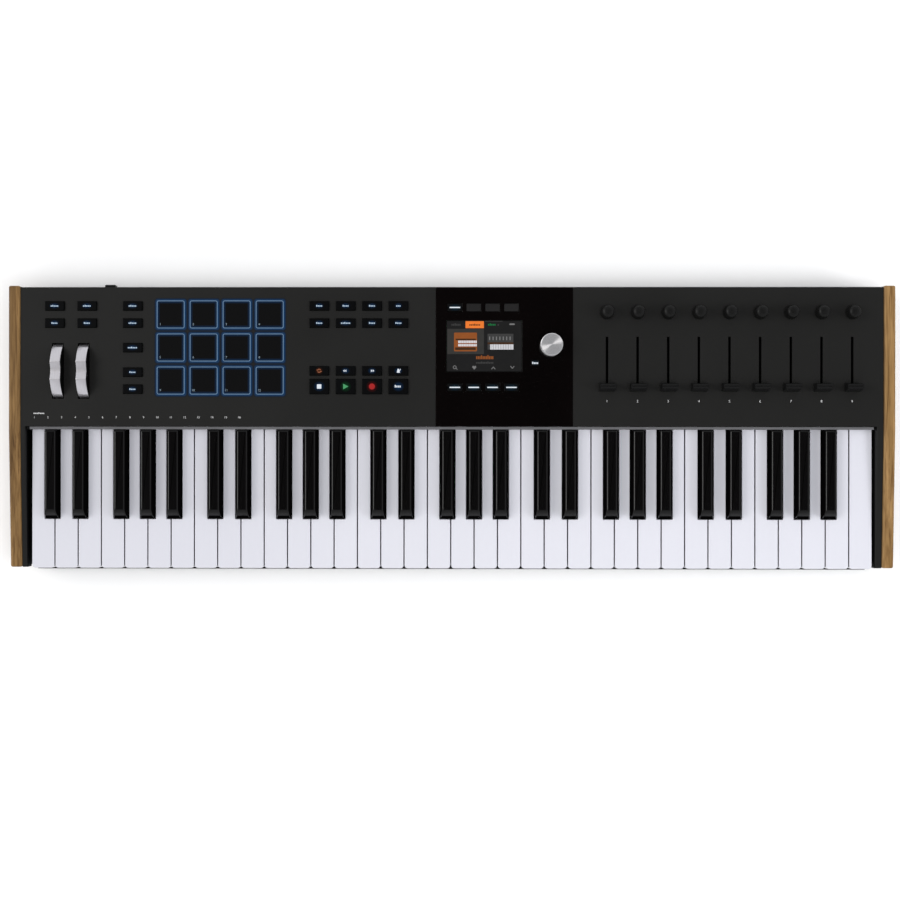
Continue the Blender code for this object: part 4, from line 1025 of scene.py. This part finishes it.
def make_knobs():
    """Domed knobs with flutes round the sides, on a skirt just clear of the panel."""
    skirt = PANEL_TOP + CAP_CLEARANCE
    dome = ((0, 0), (1.2, 0.03), (2.4, 0.16), (3.5, 0.4), (4.5, 0.8), (5.3, 1.4), (5.85, 2.2))
    for number in range(1, STRIPS + 1):
        node = f"knob_{number}"
        centre = middle(node)
        bottom, top = limits(node)[2]
        profile = [(radius * MM, top - drop * MM) for radius, drop in dome]
        profile += [
            (6.15 * MM, top - 3.2 * MM, 0.6), (6.25 * MM, top - 4.0 * MM, 1.0),
            (6.85 * MM, skirt + 2.4 * MM, 1.0), (6.95 * MM, skirt + 1.5 * MM, 0.3),
            (7.0 * MM, skirt + 1.2 * MM), (7.0 * MM, skirt),
            (3.0 * MM, skirt), (3.0 * MM, bottom), (0, bottom),
        ]
        knob = lathe(profile, (centre.x, centre.y, 0), 120, "Z", 20, 0.3 * MM)
        add(f"knob_cap_{number}", knob, node, "soft", [node], angle=40)


def make_faders():
    """Caps with a hollow for a fingertip, a line across the top and ribs down the front."""
    foot = PANEL_TOP + CAP_CLEARANCE
    crown = (
        (3.35, 0.7), (2.95, 0), (2.45, 0.12), (1.75, 0.5), (1.15, 0.62), (0.95, 0.3), (0.35, 0.3),
        (0.15, 0.62), (-0.45, 0.5), (-1.15, 0.12), (-1.65, 0), (-2.05, 0.6),
    )
    rib_pitch = 2.2
    for number in range(1, STRIPS + 1):
        node = f"fader_{number}"
        centre = middle(node)
        x, y, z = limits(node)
        top = z[1]
        side = [(-4.2, foot), (4.2, foot), (4.2, foot + 1.4 * MM)]
        side += [(offset, top - drop * MM) for offset, drop in crown]
        for rib in range(1, 5):
            height = top - rib * rib_pitch * MM
            lean = -2.05 - (top - height) / (top - foot) * 2.1
            side += [
                (lean, height + 0.5 * MM), (lean + 0.3, height + 0.3 * MM),
                (lean + 0.3, height - 0.3 * MM), (lean - 0.1, height - 0.5 * MM),
            ]
        side.append((-4.2, foot + 1.4 * MM))
        outline = [(centre.y + offset * MM, height) for offset, height in side]
        cap = prism(outline, *span(centre.x, x[1] - x[0]), axis="X")
        bevel(cap, 0.4 * MM, end_above(top - 0.8 * MM), 2)
        stem_y = span(centre.y, 4.0 * MM)
        stem = rounded_block(span(centre.x, 1.6 * MM), stem_y, (z[0], foot + MM), 0.3 * MM)
        add(f"fader_cap_{number}", [cap, stem], node, "plastic", [node])


def make_encoder():
    """A turned cap with a fluted side and a bore for the shaft."""
    node = "encoder_knob"
    centre = middle(node)
    low, top = limits(node)[2]
    radius = ENCODER_WIDTH / 2
    bore = 3.3 * MM
    roof = top - 3.0 * MM
    profile = [
        (0, top), (radius - 0.5 * MM, top), (radius, top - 0.5 * MM), (radius, top - 1.4 * MM),
        (radius, top - 1.8 * MM, 1.0), (radius, low + 1.4 * MM, 1.0),
        (radius, low + 1.0 * MM), (radius, low), (bore, low), (bore, roof), (0, roof),
    ]
    knob = lathe(profile, (centre.x, centre.y, 0), 288, "Z", 72, 0.25 * MM)
    add("encoder_cap", knob, node, "spun", [node], angle=30)


# ------------------------------------------------------------------ display

def make_display():
    """The picture on the display, laid out from the glass's front left corner."""
    x, y, z = limits("display_module")
    layer = 0.03 * MM
    ground = z[1]
    content = ground + layer
    front = content + layer
    shapes = {}

    def put(color, left, bottom, width, height, level, corner=0.0):
        centre = (x[0] + (left + width / 2) * MM, y[0] + (bottom + height / 2) * MM)
        half = (width * MM / 2, height * MM / 2)
        if corner:
            points = rounded_rectangle(*centre, *half, corner * MM)
        else:
            points = rectangle(span(centre[0], 2 * half[0]), span(centre[1], 2 * half[1]))
        shapes.setdefault(color, []).append(flat(points, level, layer))

    def words(color, centre_x, centre_y, count, level, height):
        centre = (x[0] + centre_x * MM, y[0] + centre_y * MM)
        shapes.setdefault(color, []).extend(dashes(*centre, count, level, height * MM))

    put("ui_ground", 0.25, 0.25, 74.7, 50.4, ground, 0.8)
    words("ui_dim", 9.4, 47.1, 6, content, 2.4)
    put("ui_orange", 18.9, 43.4, 18.4, 7.0, content)
    words("ui_umber", 28.1, 46.9, 7, front, 2.0)
    put("ui_dim", 38.4, 50.0, 17.6, 0.6, content)
    words("ui_green", 45.2, 47.1, 5, content, 2.2)
    words("ui_dim", 51.6, 46.9, 1, content, 2.0)
    put("ui_grey", 62.8, 46.6, 5.4, 1.5, content, 0.7)

    put("ui_tile", 0.7, 17.5, 36.6, 25.2, content)
    put("ui_brown", 7.4, 20.2, 23.0, 18.8, front, 1.0)
    put("ui_umber", 9.0, 31.3, 20.2, 1.6, front + layer)
    put("ui_umber", 8.6, 21.6, 20.6, 2.6, front + layer)
    for row, height in ((28.5, 2.5), (25.2, 2.3)):
        put("ui_white", 11.6, row, 18.6, height, front + layer)
        for key in range(1, 11):
            put("ui_brown", 11.6 + key * 1.7, row, 0.22, height, front + 2 * layer)

    put("ui_dim", 41.0, 29.2, 25.8, 8.6, content)
    put("ui_umber", 41.0, 27.2, 25.8, 2.0, content)
    for column in range(7):
        put("ui_grey", 42.6 + column * 3.4, 31.4, 1.0, 3.6, front)
    put("ui_dim", 41.0, 22.0, 2.6, 5.2, content)
    put("ui_white", 43.6, 22.0, 23.2, 5.2, content)
    for key in range(1, 14):
        put("ui_tile", 43.6 + key * 1.66, 22.0, 0.3, 5.2, front)

    words("ui_brown", 38.2, 14.4, 11, content, 4.0)
    words("ui_dim", 38.2, 9.0, 11, content, 2.2)

    icon_y = y[0] + 3.9 * MM
    glass_x, heart_x, up_x, down_x = (x[0] + offset * MM for offset in (8.1, 27.7, 46.8, 65.8))
    handle = ((1.0, -0.6), (2.5, -2.1), (2.9, -1.7), (1.4, -0.2))
    heart = (
        (0, -2.0), (2.1, 0.5), (1.5, 1.8), (0.6, 1.8), (0, 1.0), (-0.6, 1.8), (-1.5, 1.8), (-2.1, 0.5),
    )
    icons = [
        band(glass_x, icon_y + 0.4 * MM, 1.8 * MM, 1.15 * MM, content, steps=24),
        flat(around(glass_x, icon_y, handle), content),
        flat(around(heart_x, icon_y, heart), content),
    ]
    arrow = ((-2.2, -1.3), (0, 1.2), (2.2, -1.3), (1.6, -1.8), (0, 0.1), (-1.6, -1.8))
    for centre, way in ((up_x, 1), (down_x, -1)):
        turned = [(across, way * along) for across, along in arrow]
        icons.append(flat(around(centre, icon_y, turned), content))
    shapes.setdefault("ui_grey", []).extend(icons)
    for color, parts in shapes.items():
        add_marks(f"display_{color}", parts, "case", color)


# ------------------------------------------------------------------ strip, lip and print

def make_strip():
    """The felt strip behind the keys, between two black end pieces, and the lip below the keys."""
    x, y, z = limits("nameboard_strip")
    right = limits("key_top_c")[0][1]
    felt = rounded_block((KEYS_LEFT, right), y, z, 0.0, 0.4 * MM)
    add("strip_felt", felt, "case", "strip", ["nameboard_strip"])
    ends = [prism(rectangle((x[0], KEYS_LEFT), y), *z), prism(rectangle((right, x[1]), y), *z)]
    add("strip_ends", ends, "case", "dark")
    case_y, case_z = limits("bottom_case")[1:]
    lip_y = (WHITE_FRONT - LIP_REACH, case_y[0] + 0.1 * MM)
    lip = rounded_block(x, lip_y, (case_z[0] + 0.5 * MM, LIP_TOP), 0.4 * MM, 0.4 * MM, 0.4 * MM)
    add("front_lip", lip, "case", "dark")


def make_print():
    """Fader numbers and the row of channel numbers above the keys, under dashes for their title."""
    fader_row = 24.3 * MM
    channel_row = 7.9 * MM
    title_row = 12.1 * MM
    first = -417.8 * MM
    pitch = 13.73 * MM
    marks = []
    for number in range(1, STRIPS + 1):
        marks.append(digits(str(number), 3.4 * MM, middle(f"fader_{number}").x, fader_row, PANEL_TOP))
    for channel in range(16):
        marks.append(digits(str(channel + 1), 3.0 * MM, first + channel * pitch, channel_row, PANEL_TOP))
    marks += dashes(first + 4.6 * MM, title_row, 7, PANEL_TOP, 1.5 * MM)
    add_marks("panel_numbers", marks, "case", "print")


# ------------------------------------------------------------------ sockets and screws

def socket_nut(x, inner, outer):
    """A six-sided nut round a threaded nose on the rear wall."""
    wall = CASE_BACK
    nut = prism(circle(x, SOCKET_Z, outer, 6), wall, wall + 1.5 * MM, axis="Y")
    hole = prism(circle(x, SOCKET_Z, inner, 32), wall - MM, wall + 3 * MM, axis="Y")
    return drilled(nut, [hole])


def washer(x, z, inner, outer, low, high):
    """A ring on the Y axis with its outer rear edge taken off."""
    cut = 0.2 * MM
    profile = [
        (inner, low), (outer, low), (outer, high - cut),
        (outer - cut, high), (inner, high), (inner, low),
    ]
    return lathe(profile, (x, 0, z), 40, "Y")


def make_sockets():
    """Nuts, shells, pins and contacts in the openings of the rear wall."""
    wall = CASE_BACK
    nuts = []
    for x in JACK_XS:
        nuts.append(socket_nut(x, 5.75 * MM, 8.2 * MM))
        nuts.append(washer(x, SOCKET_Z, 3.3 * MM, 5.0 * MM, wall - MM, wall + 0.9 * MM))
    add("jack_nuts", nuts, "case", "nickel", angle=30)
    shells = []
    inserts = []
    contacts = []
    face_radius = 6.4 * MM
    pin_circle = 3.6 * MM
    for x in MIDI_XS:
        shells.append(washer(x, SOCKET_Z, 6.55 * MM, 7.6 * MM, wall - 2 * MM, wall + 0.8 * MM))
        disc = [(0, MIDI_FLOOR), (face_radius, MIDI_FLOOR), (face_radius, MIDI_FACE), (0, MIDI_FACE)]
        plate = lathe(disc, (x, 0, SOCKET_Z), 40, "Y")
        hole_y = (MIDI_FLOOR + 0.5 * MM, MIDI_FACE + 2 * MM)
        holes = []
        for pin in range(5):
            angle = math.radians(180 + 45 * pin)
            pin_x, pin_z = polar(x, SOCKET_Z, pin_circle, angle)
            holes.append(prism(circle(pin_x, pin_z, 0.75 * MM, 12), *hole_y, "Y"))
            tube = (MIDI_FLOOR + 0.6 * MM, MIDI_FLOOR + 1.5 * MM)
            contacts.append(washer(pin_x, pin_z, 0.45 * MM, 0.72 * MM, *tube))
        notch_z = (SOCKET_Z + 4.9 * MM, SOCKET_Z + 7 * MM)
        notch = prism(rectangle(span(x, 2.0 * MM), notch_z), *hole_y, "Y")
        inserts.append(drilled(plate, holes + [notch]))
    add("midi_shells", shells, "case", "nickel")
    add("midi_inserts", inserts, "case", "plastic")

    pin_radius = 1.0 * MM
    tip_radius = 0.6 * MM
    tip = DEEP_FLOOR + 10.9 * MM
    pin_profile = [
        (0, DEEP_FLOOR), (pin_radius, DEEP_FLOOR),
        (pin_radius, tip - tip_radius), (tip_radius, tip), (0, tip),
    ]
    dc_pin = lathe(pin_profile, (DC_X, 0, SOCKET_Z), 20, "Y")
    tongue_z = SOCKET_Z + 0.3 * MM
    tongue_y = (DEEP_FLOOR, DEEP_FLOOR + 10.5 * MM)
    tongue = prism(rectangle(span(USB_X, 5.4 * MM), span(tongue_z, 2.8 * MM)), *tongue_y, "Y")
    strips = []
    for side in (-1, 1):
        for contact in (-1, 1):
            strip_x = span(USB_X + contact * 1.3 * MM, 1.0 * MM)
            strip_z = span(tongue_z + side * 1.45 * MM, 0.16 * MM)
            strip_y = grown(tongue_y, -0.3 * MM)
            strips.append(prism(rectangle(strip_x, strip_z), *strip_y, "Y"))
    add("usb_tongue", tongue, "case", "print")
    add("socket_contacts", contacts + strips + [dc_pin], "case", "gold")


def screw(centre, axis):
    """A domed screw head with a socket, its face towards the axis's far end."""
    profile = [
        (0, -0.2), (1.1, -0.2), (1.15, 0.75), (1.7, 0.7),
        (2.2, 0.5), (2.5, 0.15), (2.55, -0.6), (0, -0.6),
    ]
    return lathe([(radius * MM, height * MM) for radius, height in profile], centre, 24, axis)


def make_screws():
    rear_rows = {49: (-425, -355, -60, 80, 250, 425), 12: (-264, -210, 0, 160, 340)}
    rear = []
    for z, places in rear_rows.items():
        rear += [screw((x * MM, CASE_BACK, z * MM), "Y") for x in places]
    under_columns = (-420, -250, -85, 85, 250, 420)
    under_rows = (-134, -20, 80, 130)
    under = []
    for x in under_columns:
        for y in under_rows:
            head = screw((0, 0, 0), "Z")
            bmesh.ops.transform(head, matrix=Matrix.Rotation(math.pi, 4, "X"), verts=head.verts)
            bmesh.ops.translate(head, verts=head.verts, vec=(x * MM, y * MM, CASE_UNDER))
            under.append(head)
    add("rear_screws", rear, "case", "dark")
    add("under_screws", under, "case", "dark")


# ------------------------------------------------------------------ CAD nodes that stay

def dress(node, material, width=0.12 * MM, segments=2, angle=35):
    """Gives a CAD node its material and softly rounded edges."""
    obj = NODES[node]
    obj.data.materials.clear()
    obj.data.materials.append(MATERIALS[material])
    if "custom_normal" in obj.data.attributes:
        obj.data.attributes.remove(obj.data.attributes["custom_normal"])
    obj.data.shade_smooth()
    weld = obj.modifiers.new("weld", "WELD")
    weld.merge_threshold = 0.005 * MM
    flatten = obj.modifiers.new("flatten", "DECIMATE")
    flatten.decimate_type = "DISSOLVE"
    flatten.angle_limit = math.radians(0.3)
    flatten.delimit = {"MATERIAL"}
    edge = obj.modifiers.new("soften", "BEVEL")
    edge.width = width
    edge.segments = segments
    edge.limit_method = "ANGLE"
    edge.angle_limit = math.radians(angle)
    even_normals(obj)


def blacken_parts(node, board_top):
    """Gives everything that stands on a circuit board black plastic in place of solder mask."""
    paint_faces(NODES[node], "dark", lambda face: face.center.z > board_top)


def blacken_key_well():
    """Gives the walls beside the keys the dark plastic material as painted shade, for the shadow the key
    well's walls lie in.
    """
    def beside_keys(face):
        return abs(face.normal.x) > 0.9 and face.center.y < WHITE_BACK

    paint_faces(NODES["top_panel"], "dark", beside_keys)


def dress_frame():
    dress("top_panel", "panel", 0.3 * MM)
    # The walls beside the keys get dark plastic: painted shade.
    blacken_key_well()
    dress("centre_panel", "fascia")
    dress("bottom_case", "case", 0.3 * MM)
    dress("left_cheek", "wood")
    dress("right_cheek", "wood")
    dress("keybed_frame", "plastic", 0.3 * MM)
    dress("key_contact_board", "board")
    dress("main_board", "board")
    blacken_parts("main_board", limits("main_board")[2][0] + 1.7 * MM)
    dress("io_board", "plastic")
    dress("display_module", "dark", 0.2 * MM)
    for number in range(1, 5):
        dress(f"foot_{number}", "rubber", 0.4 * MM, 2, 60)
    dress("encoder_shaft", "nickel")
    dress("power_switch", "plastic")


# ------------------------------------------------------------------ stage, lights and camera

def make_stage():
    """A pale floor under the feet."""
    reach = (-4, 4)
    sheet = prism(rectangle(reach, reach), -0.01, 0.0)
    floor = placed("floor", finished(sheet, "floor", smooth=False))
    floor.data.materials.append(grained("floor_paper", (0.90, 0.90, 0.90), 0.8, 40, 0.01 * MM, 0.004))


def area_light(name, location, size, power, color=(1, 1, 1), glossy=False):
    """A square lamp that faces the middle of the keyboard."""
    light = bpy.data.lights.new(name, "AREA")
    light.shape = "SQUARE"
    light.size = size
    light.energy = power
    light.color = color
    obj = placed(name, light)
    obj.location = location
    obj.rotation_euler = (-Vector(location)).to_track_quat("-Z", "Y").to_euler()
    obj.visible_glossy = glossy


def make_lights():
    """A large lamp on the left, a small one on the right, one overhead, and a sky that is dark on top.

    Only the large lamp is reflected in glossy faces.
    """
    area_light("key_light", (-3.9, 0.5, 3.6), 2.4, 103, (1.0, 0.985, 0.965), glossy=True)
    area_light("fill_light", (1.5, -0.2, 0.95), 0.5, 9, (0.95, 0.965, 1.0))
    area_light("overhead_light", (0.2, -0.35, 2.6), 1.2, 28)
    world = bpy.data.worlds.new("studio")
    bpy.context.scene.world = world
    world.use_nodes = True
    tree = world.node_tree
    background = tree.nodes["Background"]
    background.inputs["Strength"].default_value = 0.8
    source = new_node(tree, "TexCoord")
    split = new_node(tree, "SeparateXYZ")
    tree.links.new(source.outputs["Generated"], split.inputs["Vector"])
    stops = [
        (0.0, (0.93, 0.94, 0.96)),
        (0.5, (0.92, 0.93, 0.95)),
        (0.84, (0.86, 0.87, 0.89)),
        (0.94, (0.06, 0.06, 0.063)),
        (1.0, (0.02, 0.02, 0.02)),
    ]
    tree.links.new(ramp(tree, split.outputs["Z"], stops), background.inputs["Color"])


def make_camera():
    """Above the keyboard, turned a hair to the left, with the back of it at the top of the picture."""
    data = bpy.data.cameras.new("camera")
    data.sensor_width = 36.0
    data.lens = 59.85
    data.clip_start = 0.1
    data.clip_end = 20
    camera = placed("camera", data)
    height = 1.5572
    turn = math.radians(0.6)
    aim_x = -0.7 * MM
    camera.location = (aim_x + (height - PANEL_TOP) * math.tan(turn), -24.5 * MM, height)
    camera.rotation_euler = (0, turn, math.radians(0.05))
    bpy.context.scene.camera = camera
    bpy.context.scene.view_settings.view_transform = "Standard"


make_camera()
make_lights()
make_stage()
dress_frame()
make_keys()
make_left_buttons()
make_transport_buttons()
make_display_buttons()
make_pads()
for wheel in ("pitch_wheel", "mod_wheel"):
    make_wheel(wheel)
make_knobs()
make_faders()
make_encoder()
make_display()
make_strip()
make_print()
make_sockets()
make_screws()
